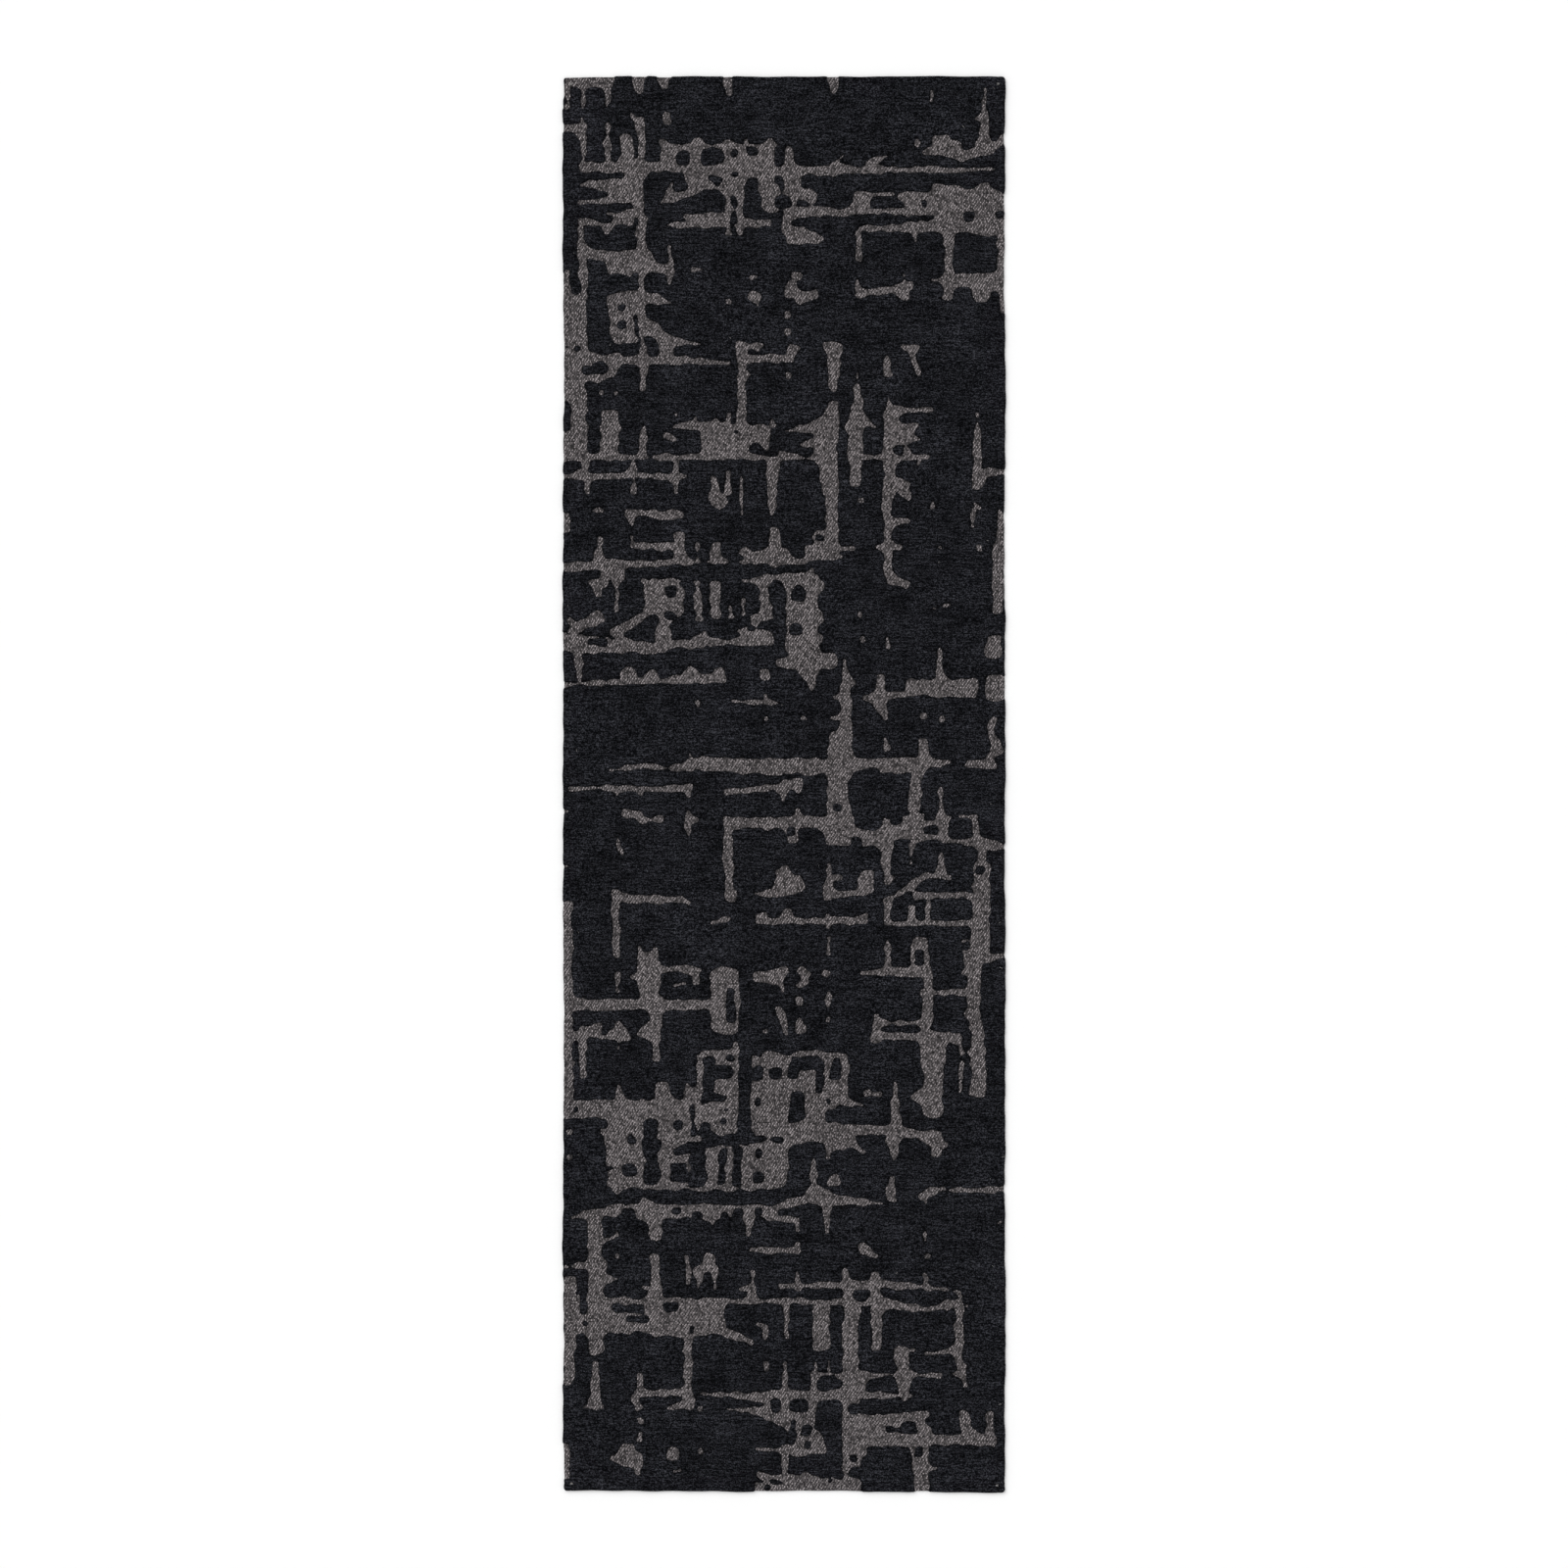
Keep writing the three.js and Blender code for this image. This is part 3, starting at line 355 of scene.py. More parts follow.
pileBars = (
    (-35.3, 118, -35.3, 116.6, 1.7, 1.8), (-32, 117.6, -32, 115.4, 3, 3.4),
    (-36, 109.6, -36, 105.6, 2.8, 3), (-32, 111, -31.9, 108, 1.6, 3), (-31.9, 108, -31.8, 105.8, 3.4, 3),
    (-28.6, 109.6, -28.6, 106.4, 1.4, 1.9), (-25, 109.6, -25, 108.2, 0.6, 0.8),
    (-25, 107.4, -25, 106, 0.7, 0.6), (-37.5, 103, -27, 103, 2.2, 0.5),
    (-37.5, 100.2, -29.5, 100, 1.6, 0.5), (-35, 97.4, -25.2, 97.8, 1.6, 1),
    (-33, 96.2, -29, 95.6, 1, 1.2), (-25, 101, -25, 99.4, 0.5, 0.5), (-25, 96, -25, 94.6, 0.8, 0.9),
    (-22.2, 109.6, -22.2, 105.4, 2.6, 2.8), (-22.4, 103, -22.4, 96, 2.4, 2.8),
    (-22.4, 103, -17, 102.8, 1.6, 1.4), (-17.6, 102.4, -17.8, 100.8, 1.8, 2.4),
    (-22, 96.8, -10.4, 99.4, 2, 2.8), (-17.2, 107, -17, 105, 3, 2), (-14, 106.2, -10.2, 106.6, 2.4, 2.8),
    (-8.4, 107.6, -8.4, 106, 1, 1), (-6.4, 107, -4.6, 107.4, 1.5, 1.2),
    (-0.8, 108.2, -0.8, 104.6, 1.6, 1.7), (-12.8, 103, -10.4, 101.9, 0.8, 1.8),
    (-8.3, 103.4, -8.3, 102.8, 0.9, 0.8), (-8.4, 100, -8.4, 97.4, 0.8, 0.9), (-8.4, 96, -8.4, 95, 0.9, 1),
    (-5.6, 102.8, -5.2, 98, 1.6, 3.2), (-0.8, 103.2, -0.8, 101.9, 1.4, 1.5),
    (-0.2, 99.8, -0.2, 97.8, 2.2, 2.6), (3, 102.2, 25, 102, 1.8, 2.8), (24, 102.6, 37.5, 103, 1.6, 2),
    (5.6, 99, 11, 99.2, 2.4, 3), (15.2, 98.2, 19.2, 99, 1, 1.8), (23.2, 98.3, 24.6, 98.2, 1.2, 1.1),
    (2, 95.3, 14, 95.8, 0.9, 1.5), (14, 95.8, 25.6, 95.9, 1.5, 0.7), (31.2, 96.6, 31.2, 95.8, 2, 1.8),
    (36.6, 96.8, 36.6, 96.2, 1.6, 1.4), (35.4, 92.8, 35.4, 92.4, 1, 1),
    (32.2, 91.4, 32.2, 87.6, 6.2, 6.6), (31.4, 110, 31.2, 108.6, 3.4, 2.4),
    (31.4, 102.4, 31.4, 101.2, 2.2, 1.8), (24, 93, 24, 91, 2.6, 4), (30.4, 84.4, 30, 82, 1.4, 2.4),
    (-32, 93.6, -32, 91.4, 1.6, 2.6), (-29, 92.6, -26, 91.2, 1.6, 1.6), (-27.4, 94, -27.4, 92, 1.2, 2.4),
    (-21.4, 93.4, -21.2, 91, 3.6, 3.2), (-20.6, 90, -20.4, 88.4, 1.6, 1.2),
    (-35.2, 86, -35.2, 83.4, 1.3, 1.5), (-31.6, 88, -31.4, 81, 2.4, 3.4), (-31.4, 81, -31.2, 73, 3.6, 4),
    (-29.6, 85.2, -25, 84.6, 3, 2), (-22.2, 86, -22, 83.4, 3, 3.4), (-27.4, 81, -27.4, 80.4, 1.3, 1.2),
    (-27.4, 78.2, -27.4, 77.4, 1.5, 1.4), (-25, 80.6, -25, 75.6, 0.6, 0.8),
    (-27.6, 73.7, -25.4, 73.7, 2.2, 2.2), (-22.8, 73.8, -21.8, 73.8, 2.3, 2.2),
    (-36.8, 74.4, -36.8, 73.6, 0.8, 0.8), (-35.2, 74.4, -35.2, 73.6, 1.3, 1.3),
    (-32.6, 70.4, -30.4, 70.2, 2, 2.2), (-18, 73, -10, 73, 0.6, 1.3), (-37, 65, -37, 60, 1, 1.4),
    (-37.5, 53.8, -35.4, 53.8, 2, 1.6), (-32.6, 53.8, -27.6, 53.8, 2, 1.8),
    (-24.6, 53.8, -19.4, 53.8, 2, 2), (-17, 53.6, -10, 53.4, 2.2, 2.6), (-4.7, 58, -4.7, 56, 1.2, 3.2),
    (-8.1, 59.9, -8.1, 59.4, 0.9, 0.8), (-0.8, 58.4, 3.2, 59, 1.6, 1), (-0.6, 57, 4.8, 56.4, 1.6, 1.5),
    (19.2, 62.1, 24.4, 61.9, 1.2, 1.4), (3.6, 54.6, 3.6, 49, 5, 6), (9.9, 60, 9.9, 51, 1, 1.6),
    (-0.6, 53.4, 6, 53, 2, 2.4), (-5, 53.6, -5, 50, 2.6, 4), (19.3, 56.6, 19.3, 56.2, 1.4, 1.3),
    (19.4, 53.6, 19.6, 52, 1.4, 1.2), (19.4, 47.4, 20.6, 47.4, 1.8, 1.6),
    (-19.3, 39, -19.3, 38.5, 1.4, 1.3), (-13.2, 40, -13.2, 38.2, 1.4, 1.4),
    (2.2, 39.4, 2.4, 38.4, 1.8, 1.6), (5.4, 42, 6.8, 41.6, 1, 1), (-19.1, 33.5, -19.1, 31.7, 1.2, 1.7),
    (-19.1, 29.3, -19.1, 27.9, 1.6, 1.5), (-29.3, 34.6, -29.3, 31, 0.4, 1.4),
    (-1.4, 34.2, -0.8, 28, 1.8, 1.8), (-15.8, 34, -15.8, 28, 1.2, 1.2), (2.6, 33.8, 2.4, 31, 1.6, 2.2),
    (2.2, 27.2, 2.2, 25.2, 1.5, 1.9), (-0.4, 28, -0.2, 22.4, 1, 0.6), (-33, 24.2, -30, 23.8, 0.7, 1.5),
    (-24.6, 26.4, -21.4, 28, 1.6, 1.6), (-18.6, 25.8, -15.6, 25, 1.6, 1.2),
    (-13, 26.6, -5.6, 27.6, 1.6, 1.6), (-5.6, 26.9, -5.6, 25.8, 1.1, 1.1),
    (-3.4, 26.8, -1, 26.2, 0.6, 1.6), (-13.2, 24, -13.2, 22.6, 0.8, 1.4),
    (-23.8, 19.4, -24.2, 18.8, 0.6, 1), (28.6, 16.6, 28.7, 16.3, 0.8, 0.8), (4.6, -1, 4.6, -4, 3, 4),
    (9, -3.8, 9, -4.4, 1.2, 1.3), (19, -5.4, 19, -6.8, 1.8, 1.6), (23.7, -5.7, 26.2, -5.7, 1.3, 1.4),
    (23.7, -7.9, 26.2, -7.9, 1.3, 1.4), (29.8, -5.6, 29.8, -9.2, 3.8, 4.2),
    (1.2, -7.3, 1.2, -8.7, 1.1, 1.1), (14.6, -4.4, 14.6, -6.2, 7, 4), (12.8, 2.2, 15.6, -4, 5, 9),
    (5.2, -8.6, 5.2, -10, 2.6, 3.4), (12.4, -9.6, 12.4, -10.6, 1.6, 3),
    (33.4, -14.2, 33.2, -14.9, 1.4, 1.3), (30.4, -19.6, 30.2, -20, 1.4, 1.8),
    (25.6, -21.6, 30.6, -21.4, 1.8, 2.4), (18.8, -20.6, 19.2, -22, 1.4, 2),
    (23.2, -21.4, 23.1, -22.8, 1.1, 1.2), (26.8, -27.4, 31.4, -27.4, 0.5, 1.2),
    (22.9, -28.2, 22.9, -30.8, 1.5, 1.7), (27.6, -28, 27.6, -33.4, 4.4, 4.6),
    (28.2, -37, 28.4, -40.4, 5.2, 4.4), (18, -41.5, 22.6, -41.5, 0.9, 1), (29, -44, 28.6, -52, 1.6, 2),
    (31, -41.4, 31, -45, 1.4, 1.3), (31, -47.6, 31, -51, 1.4, 2), (-9, -34.8, -9, -40.6, 1.3, 1.6),
    (-31, -44.6, -31, -46.6, 3.6, 4), (-25.6, -44, -25.4, -46.8, 3, 4.4), (1.2, -32, 1.4, -34, 2.2, 2.6),
    (-27.4, -33.8, -26, -34.8, 2, 3), (-6.7, -44, -6.7, -60, 1.9, 1.9), (-13, -46.4, -13, -53, 1.5, 1.5),
    (-12.6, -46.6, -11.6, -47.4, 1.2, 0.8), (-12.6, -48.9, -8.8, -48.9, 2.2, 2),
    (-13, -53.3, -9.8, -53.4, 1.3, 0.9), (-9.2, -46, -9.2, -46.8, 1.4, 1.4),
    (-4.4, -47.8, -4.3, -50.2, 1.3, 1.8), (-2.6, -49, -0.6, -49, 1.6, 1.5),
    (1.2, -47.4, 6.2, -47.2, 2.2, 2), (1.6, -47, 1.6, -50, 1.8, 1.6), (6, -47, 5.9, -52.4, 1.6, 1.3),
    (8.8, -46.4, 8.6, -50.2, 1.2, 1.8), (2.2, -52, 2.2, -57.2, 2.2, 2.8),
    (-4.9, -53.8, -3.9, -53.8, 1.2, 1), (7.4, -53.8, 8, -53.8, 0.8, 0.8),
    (-4.4, -45.4, -3.8, -46.2, 1.6, 0.4), (7, -56.5, 18, -56.2, 1.6, 3), (12, -55.2, 14, -55.2, 1, 1),
    (16, -50, 16, -51, 4, 3), (-35.2, -54.6, -35, -55.8, 1, 1.1), (-37.5, -57.8, -30, -57.6, 2, 1.8),
    (-22.7, -56.8, -22.6, -60, 2.3, 2.6), (-18, -57, -18, -58.6, 1.5, 1.8),
    (-15.5, -54, -15.5, -60, 0.7, 0.8), (-10.6, -57.2, -10.4, -57.4, 1.2, 1.2),
    (-13.4, -57.4, -13.2, -60, 1, 2), (-8, -57.6, -7, -57.6, 1.4, 1.8),
    (-26.2, -64.6, -26.1, -66.6, 1.9, 2), (-29.4, -64.6, -29.4, -65.6, 1, 1.2),
    (-22.5, -60, -22.8, -64, 3.2, 2.2), (-22.6, -64, -22.4, -67.9, 2.5, 3),
    (-16.6, -61.2, -5, -59.9, 1, 2.2), (-18.8, -62.7, -16, -61.6, 1.6, 1.2),
    (-17.8, -64.4, -17.8, -67.6, 2.6, 3.6), (-14.6, -61.4, -14.6, -68.4, 2.2, 3),
    (-26.6, -60.4, -25.2, -60.6, 1.1, 1.1), (-10.4, -61.8, -10.6, -68, 1.3, 1.3),
    (-8, -61.4, -8, -68, 1.2, 1.3), (-4.3, -61.9, -4.3, -63.7, 1.4, 1.6),
    (-4.3, -65.8, -4.3, -67.5, 1.7, 1.6), (2.2, -63.6, 2.4, -69, 3, 3.4),
    (0, -60.2, -14, -60.4, 0.8, 1.2), (-26.4, -72.4, -26.2, -74, 1.9, 2.4),
    (-18.3, -72.2, -18.3, -72.8, 1.2, 1.1), (-14.6, -72.6, -14.6, -75, 1.8, 2.6),
    (-10.3, -72.4, -10.3, -75, 1.3, 1.5), (-7.8, -72, -7.8, -75, 1.3, 1.4),
    (-4.6, -72.6, -4.2, -72.6, 1.3, 1.3), (-1, -72.6, 5.8, -72.2, 0.8, 2),
    (-34, -82.4, -34, -90, 1.4, 1.2), (-33.9, -91.4, -33.9, -91.8, 1.1, 1),
    (-34, -94, -34, -104, 1.4, 1.9), (-29.6, -86.4, -24, -86.4, 1.8, 1.8),
    (-29, -88.9, -23.6, -89.2, 1, 1.5), (-26.8, -91, -22.8, -90.8, 0.7, 1.3),
    (-26, -94.6, -22.4, -94, 3, 2), (-20.4, -89, -18, -88.8, 1.6, 1.8), (-10.2, -89.6, -2, -90.2, 2, 3),
    (-8.6, -91.2, -6.6, -92, 1.4, 1.6), (-15.6, -93.4, -15.6, -91.8, 0.7, 0.6),
    (3.4, -86.6, 9.4, -86.5, 1.6, 1.7), (11.6, -86.6, 14, -86.6, 1.5, 1.7),
    (17.6, -86.6, 28.4, -86.7, 1.3, 1.4), (2.6, -89.6, 2.6, -94, 3, 3.6), (8.7, -89, 8.7, -94, 1.5, 1.6),
    (13.7, -89, 13.7, -96, 1.6, 2.2), (14, -96, 14.6, -99, 2, 2.6), (6, -101.3, 8.8, -101.4, 2, 2.2),
    (14.8, -101.8, 18.6, -101.6, 2, 2.8), (21.6, -98, 28.6, -98, 2, 2.8),
    (2.8, -99, 2.6, -102.4, 3.6, 1.6), (-2.2, -105.3, -0.5, -105.3, 1.8, 2),
    (1, -105.4, 4, -105.5, 1.8, 2.2), (11.8, -105, 11.8, -106.8, 1.7, 1.9),
    (13.4, -106, 22, -105.6, 1.8, 2), (1.4, -107.8, 1.4, -112, 0.8, 0.9),
    (3.8, -108.8, 3.8, -110.4, 1.4, 1.6), (3.5, -112, 4.3, -112, 0.9, 0.9),
    (7.8, -105.6, 7.8, -110, 4, 4.4), (17.2, -109.3, 20.8, -109.3, 0.7, 1),
    (33.3, -107.4, 33.2, -109.2, 2.2, 2.2), (11.7, -113.8, 11.7, -115, 1.3, 1.3),
    (11.9, -115.6, 11.9, -117.6, 1.6, 1.9), (22.9, -112.3, 22.9, -114, 1.5, 1.6),
    (-3.4, -114.6, -1, -115.8, 2.6, 2.8), (1.8, -114.8, 1.7, -115.8, 2, 2.2),
    (-3, -119.4, -2.8, -119.6, 1, 1), (7.6, -118, 8.4, -118.4, 1.4, 1), (19.4, -117.6, 22, -118, 3, 2),
)

figureValues = {
    "cell": 0.1875,          # cm between the points that the figure is worked out on
    "lobeAcross": 2.7,       # cm between the rounded lobes along the pile's edge
    "lobeAlong": 2.2,
    "lobeJitter": 0.32,
    "lobeDepth": 0.62,
    "frayDepth": 0.07,
    "lumpDepth": 0.09,
    "closing": 0.05,         # cm by which the pile's edge leans over the ground
    "pileGrow": 0.12,        # cm that each pile bar gains all round
    "groundWeb": (0.5, 0.03),       # how far the webs reach, and how thin a web is left out
    "pileWeb": (0.3, 0.03),
    "lastWeb": (0.25, 0.018),
    "soft": 0.1,             # cm of blur at the end
    "farOut": 9.0,           # cm from the ground, where no bar is near
    "deepest": 1.5,          # cm from the figure's edge, past which distance doesn't count
    "frayGrain": (1.1, 0.32),       # cm along and across a frayed thread
    "lumpGrain": 0.5,
    "lobeMiddle": 0.42,      # lobe distance at which a lobe neither adds ground nor takes it
    "lobeFar": 0.75,         # and past which it adds no more
}
cell = figureValues["cell"]
figureColumns = round(2 * halfWidth * 100 / cell)
figureRows = round(2 * halfLength * 100 / cell)
figureX = (np.arange(figureColumns) + 0.5) * cell - halfWidth * 100
figureY = (np.arange(figureRows) + 0.5) * cell - halfLength * 100


def blurred(values, acrossSpread, alongSpread):
    # a soft blur through the Fourier transform, with the borders mirrored; spreads are in grid steps
    rows, columns = values.shape
    wide = np.pad(values, ((0, rows), (0, columns)), mode="symmetric")
    across = np.fft.rfftfreq(2 * columns) * acrossSpread
    along = np.fft.fftfreq(2 * rows) * alongSpread
    falloff = np.exp(-2 * math.pi ** 2 * (across[None, :] ** 2 + along[:, None] ** 2))
    return np.fft.irfft2(np.fft.rfft2(wide) * falloff, s=wide.shape)[:rows, :columns]


def clouds(shape, seed, acrossSpread, alongSpread):
    # smooth seeded noise with a spread of one
    grains = np.random.default_rng(seed).standard_normal(shape)
    soft = blurred(grains, acrossSpread, alongSpread)
    return soft / soft.std()


def layBars(field, bars, grow, ground):
    # the field is the distance into the ground, in cm; a bar adds to the ground or cuts it away
    for startAcross, startAlong, endAcross, endAlong, startWide, endWide in bars:
        room = max(startWide, endWide) / 2 + 1.6
        acrossEnds, alongEnds = sorted((startAcross, endAcross)), sorted((startAlong, endAlong))
        i0, i1 = np.searchsorted(figureX, (acrossEnds[0] - room, acrossEnds[1] + room))
        j0, j1 = np.searchsorted(figureY, (alongEnds[0] - room, alongEnds[1] + room))
        x, y = np.meshgrid(figureX[i0:i1], figureY[j0:j1])
        length = max(math.hypot(endAcross - startAcross, endAlong - startAlong), 1e-6)
        leanX = (endAcross - startAcross) / length
        leanY = (endAlong - startAlong) / length
        s = (x - startAcross) * leanX + (y - startAlong) * leanY
        off = np.abs((y - startAlong) * leanX - (x - startAcross) * leanY)
        # a bar shorter than it is wide becomes a round spot
        short = max(0.45 * (startWide + endWide) - length, 0)
        s, length = s + short / 2, length + short
        half = (startWide + (endWide - startWide) * np.clip(s / length, 0, 1)) / 2 + grow
        startRound = min(0.28 * startWide, length / 2)
        endRound = min(0.28 * endWide, length / 2)
        over = s - np.clip(s, startRound, length - endRound)
        rounding = np.maximum(np.where(over < 0, startRound, endRound) + grow, 0.05)
        inside = half - (off ** 3 + np.abs(over * half / rounding) ** 3) ** (1 / 3)
        part = field[j0:j1, i0:i1]
        if ground:
            np.maximum(part, inside, out=part)
        else:
            np.minimum(part, -inside, out=part)


def lobes(seed, across, along, jitter):
    # distance to the nearest lobe's middle, on a loose lattice of them
    dice = np.random.default_rng(seed)
    rows = int(2 * halfLength * 100 / along) + 4
    columns = int(2 * halfWidth * 100 / across) + 4
    shiftX = dice.uniform(-jitter, jitter, (rows, columns))
    shiftY = dice.uniform(-jitter, jitter, (rows, columns))
    x, y = np.meshgrid((figureX + halfWidth * 100) / across + 1, (figureY + halfLength * 100) / along + 1)
    i, j = np.floor(x).astype(int), np.floor(y).astype(int)
    nearest = np.full(x.shape, 9.0)
    for di in (-1, 0, 1):
        for dj in (-1, 0, 1):
            column = np.clip(i + di, 0, columns - 1)
            row = np.clip(j + dj, 0, rows - 1)
            dx = np.abs(x - column - 0.5 - shiftX[row, column])
            dy = np.abs(y - row - 0.5 - shiftY[row, column])
            nearest = np.minimum(nearest, (dx ** 2.6 + dy ** 2.6) ** (1 / 2.6))
    return nearest


def webbed(field, spread, thin):
    # the ground fills the corners where bars cross
    return np.maximum(field, blurred(field, spread / cell, spread / cell) - thin)


def drawFigure():
    # distance into the bare ground, in cm, and the lobes that swell the pile
    v = figureValues
    field = np.full((figureRows, figureColumns), -v["farOut"])
    layBars(field, groundBars, 0.0, ground=True)
    field = webbed(np.clip(field, -v["deepest"], v["deepest"]), *v["groundWeb"])
    layBars(field, pileBars, v["pileGrow"], ground=False)
    field = webbed(field, *v["pileWeb"])
    swell = lobes(5, v["lobeAcross"], v["lobeAlong"], v["lobeJitter"])
    long, thin = (grain / cell for grain in v["frayGrain"])
    fray = np.maximum(clouds(field.shape, 3, long, thin), clouds(field.shape, 4, thin, long))
    lumps = clouds(field.shape, 7, v["lumpGrain"] / cell, v["lumpGrain"] / cell)
    field = field + v["lobeDepth"] * (np.minimum(swell, v["lobeFar"]) - v["lobeMiddle"])
    field = field + v["frayDepth"] * fray + v["lumpDepth"] * lumps
    field = webbed(field, *v["lastWeb"]) - v["closing"]
    return blurred(field, v["soft"] / cell, v["soft"] / cell), swell


def sampled(field, u, v):
    # reads a figure grid at places given in metres, and holds its value past the edge
    i = np.clip((u * 100 + halfWidth * 100) / cell - 0.5, 0, figureColumns - 1.001)
    j = np.clip((v * 100 + halfLength * 100) / cell - 0.5, 0, figureRows - 1.001)
    i0, j0 = i.astype(int), j.astype(int)
    fi, fj = i - i0, j - j0
    low = field[j0, i0] * (1 - fi) + field[j0, i0 + 1] * fi
    high = field[j0 + 1, i0] * (1 - fi) + field[j0 + 1, i0 + 1] * fi
    return low * (1 - fj) + high * fj


print("figure")
figure, lobeSwell = drawFigure()


# the cloth is worked out unrolled, then its border is turned round the folded edge
def edgeInset(u, v):
    # distance inside the line where the fold starts; negative past it
    beyondX = np.maximum(np.abs(u) - (startX - startCorner), 0)
    beyondY = np.maximum(np.abs(v) - (startY - startCorner), 0)
    straight = np.minimum(startX - np.abs(u), startY - np.abs(v))
    corner = startCorner - np.hypot(beyondX, beyondY)
    return np.where((beyondX > 0) & (beyondY > 0), corner, straight)


def turnEdge(u, v, proud):
    # proud is the height over the cloth's face; the pile is pressed thin under the fold
    beyondX = np.maximum(np.abs(u) - (startX - startCorner), 0) * np.sign(u)
    beyondY = np.maximum(np.abs(v) - (startY - startCorner), 0) * np.sign(v)
    reach = np.hypot(beyondX, beyondY)
    past = np.maximum(reach - startCorner, 0)
    turned = np.clip(past / foldRadius, 0, math.pi)
    outX = beyondX / np.maximum(reach, 1e-9)
    outY = beyondY / np.maximum(reach, 1e-9)
    pressed = np.where(proud > 0, (0.5 + 0.5 * np.cos(turned)) ** 0.6, 1)
    radius = foldRadius + proud * pressed
    points = np.empty((len(u), 3))
    points[:, 0] = u - outX * past + outX * radius * np.sin(turned)
    points[:, 1] = v - outY * past + outY * radius * np.sin(turned)
    points[:, 2] = np.maximum(foldHeight + radius * np.cos(turned), 0.03 * mm)
    return points


def gridLines(start, step, edgeStep, turn):
    # evenly spaced lines over the flat cloth, and closer ones over the folded edge
    flatEnd = start - 2 * mm
    flat = np.linspace(-flatEnd, flatEnd, round(2 * flatEnd / step) + 1)
    end = start + foldRadius * turn + edgeStep
    edge = np.linspace(flatEnd, end, round((end - flatEnd) / edgeStep) + 1)[1:]
    return np.concatenate([-edge[::-1], flat, edge])


def trimmed(keep, columns):
    # cuts a grid of triangles along the line where keep passes nought, and returns the points'
    # values, the triangles and each triangle's row
    rows, width = keep.shape
    ids = np.arange(rows * width).reshape(rows, width)
    a, b, c, d = (s.ravel() for s in (ids[:-1, :-1], ids[:-1, 1:], ids[1:, 1:], ids[1:, :-1]))
    odd = ((a % width + a // width) % 2).astype(bool)
    first = np.stack([a, b, np.where(odd, c, d)], 1)
    second = np.stack([np.where(odd, a, b), c, d], 1)
    triangles = np.concatenate([first, second])
    rowOf = np.concatenate([a, a]) // width
    level = keep.ravel()
    isIn = level[triangles] > 0
    count = isIn.sum(1)
    whole = triangles[count == 3]

    def turnedTo(mask, wanted):
        some = triangles[mask]
        lead = np.argmax(isIn[mask] == wanted, 1)
        return [some[np.arange(len(some)), (lead + k) % 3] for k in range(3)]

    tip = turnedTo(count == 1, True)
    base = turnedTo(count == 2, False)
    ends = np.concatenate([
        np.stack([tip[0], tip[1]], 1), np.stack([tip[0], tip[2]], 1),
        np.stack([base[0], base[1]], 1), np.stack([base[0], base[2]], 1),
    ])
    ends.sort(axis=1)
    cuts, place = np.unique(ends[:, 0] * level.size + ends[:, 1], return_inverse=True)
    place = place.ravel() + level.size
    n, m = len(tip[0]), len(base[0])
    tipA, tipB = place[:n], place[n:2 * n]
    baseA, baseB = place[2 * n:2 * n + m], place[2 * n + m:]
    faces = np.concatenate([
        whole, np.stack([tip[0], tipA, tipB], 1),
        np.stack([baseA, base[1], base[2]], 1), np.stack([baseA, base[2], baseB], 1),
    ])
    faceRow = np.concatenate([rowOf[count == 3], rowOf[count == 1], rowOf[count == 2], rowOf[count == 2]])
    low, high = cuts // level.size, cuts % level.size
    share = np.clip(level[low] / (level[low] - level[high]), 0.06, 0.94)
    used, faces = np.unique(faces, return_inverse=True)
    values = []
    for column in columns:
        flat = column.ravel()
        cut = flat[low] + (flat[high] - flat[low]) * share
        values.append(np.concatenate([flat, cut])[used])
    return values, faces.reshape(-1, 3), faceRow


def pointNormals(points, faces):
    a, b, c = (points[faces[:, k]] for k in range(3))
    across = np.cross(b - a, c - a)
    total = np.zeros_like(points)
    for axis in range(3):
        for k in range(3):
            total[:, axis] += np.bincount(faces[:, k], across[:, axis], len(points))
    return total / np.maximum(np.linalg.norm(total, axis=1), 1e-12)[:, None]


def deselect():
    bpy.ops.object.select_all(action="DESELECT")


def addPiece(name, mesh, look):
    mesh.materials.append(look)
    piece = bpy.data.objects.new(name, mesh)
    bpy.context.scene.collection.objects.link(piece)
    return piece


def facedPiece(name, points, faces, look):
    # a piece from points and faces of any number of sides, laid on the settled rug
    mesh = bpy.data.meshes.new(name)
    mesh.from_pydata(settle(points).tolist(), [], faces)
    mesh.shade_smooth()
    return addPiece(name, mesh, look)


def meshPiece(name, points, faces, look, normals=None):
    # the same from a great many triangles, with the points' normals where they are given
    mesh = bpy.data.meshes.new(name)
    mesh.vertices.add(len(points))
    mesh.vertices.foreach_set("co", points.astype(np.float32).ravel())
    mesh.loops.add(faces.size)
    mesh.loops.foreach_set("vertex_index", faces.astype(np.int32).ravel())
    mesh.polygons.add(len(faces))
    mesh.polygons.foreach_set("loop_start", np.arange(0, faces.size, 3, dtype=np.int32))
    mesh.update(calc_edges=True)
    mesh.validate()
    mesh.shade_smooth()
    if normals is not None:
        mesh.normals_split_custom_set_from_vertices(normals.astype(np.float32))
    return addPiece(name, mesh, look)


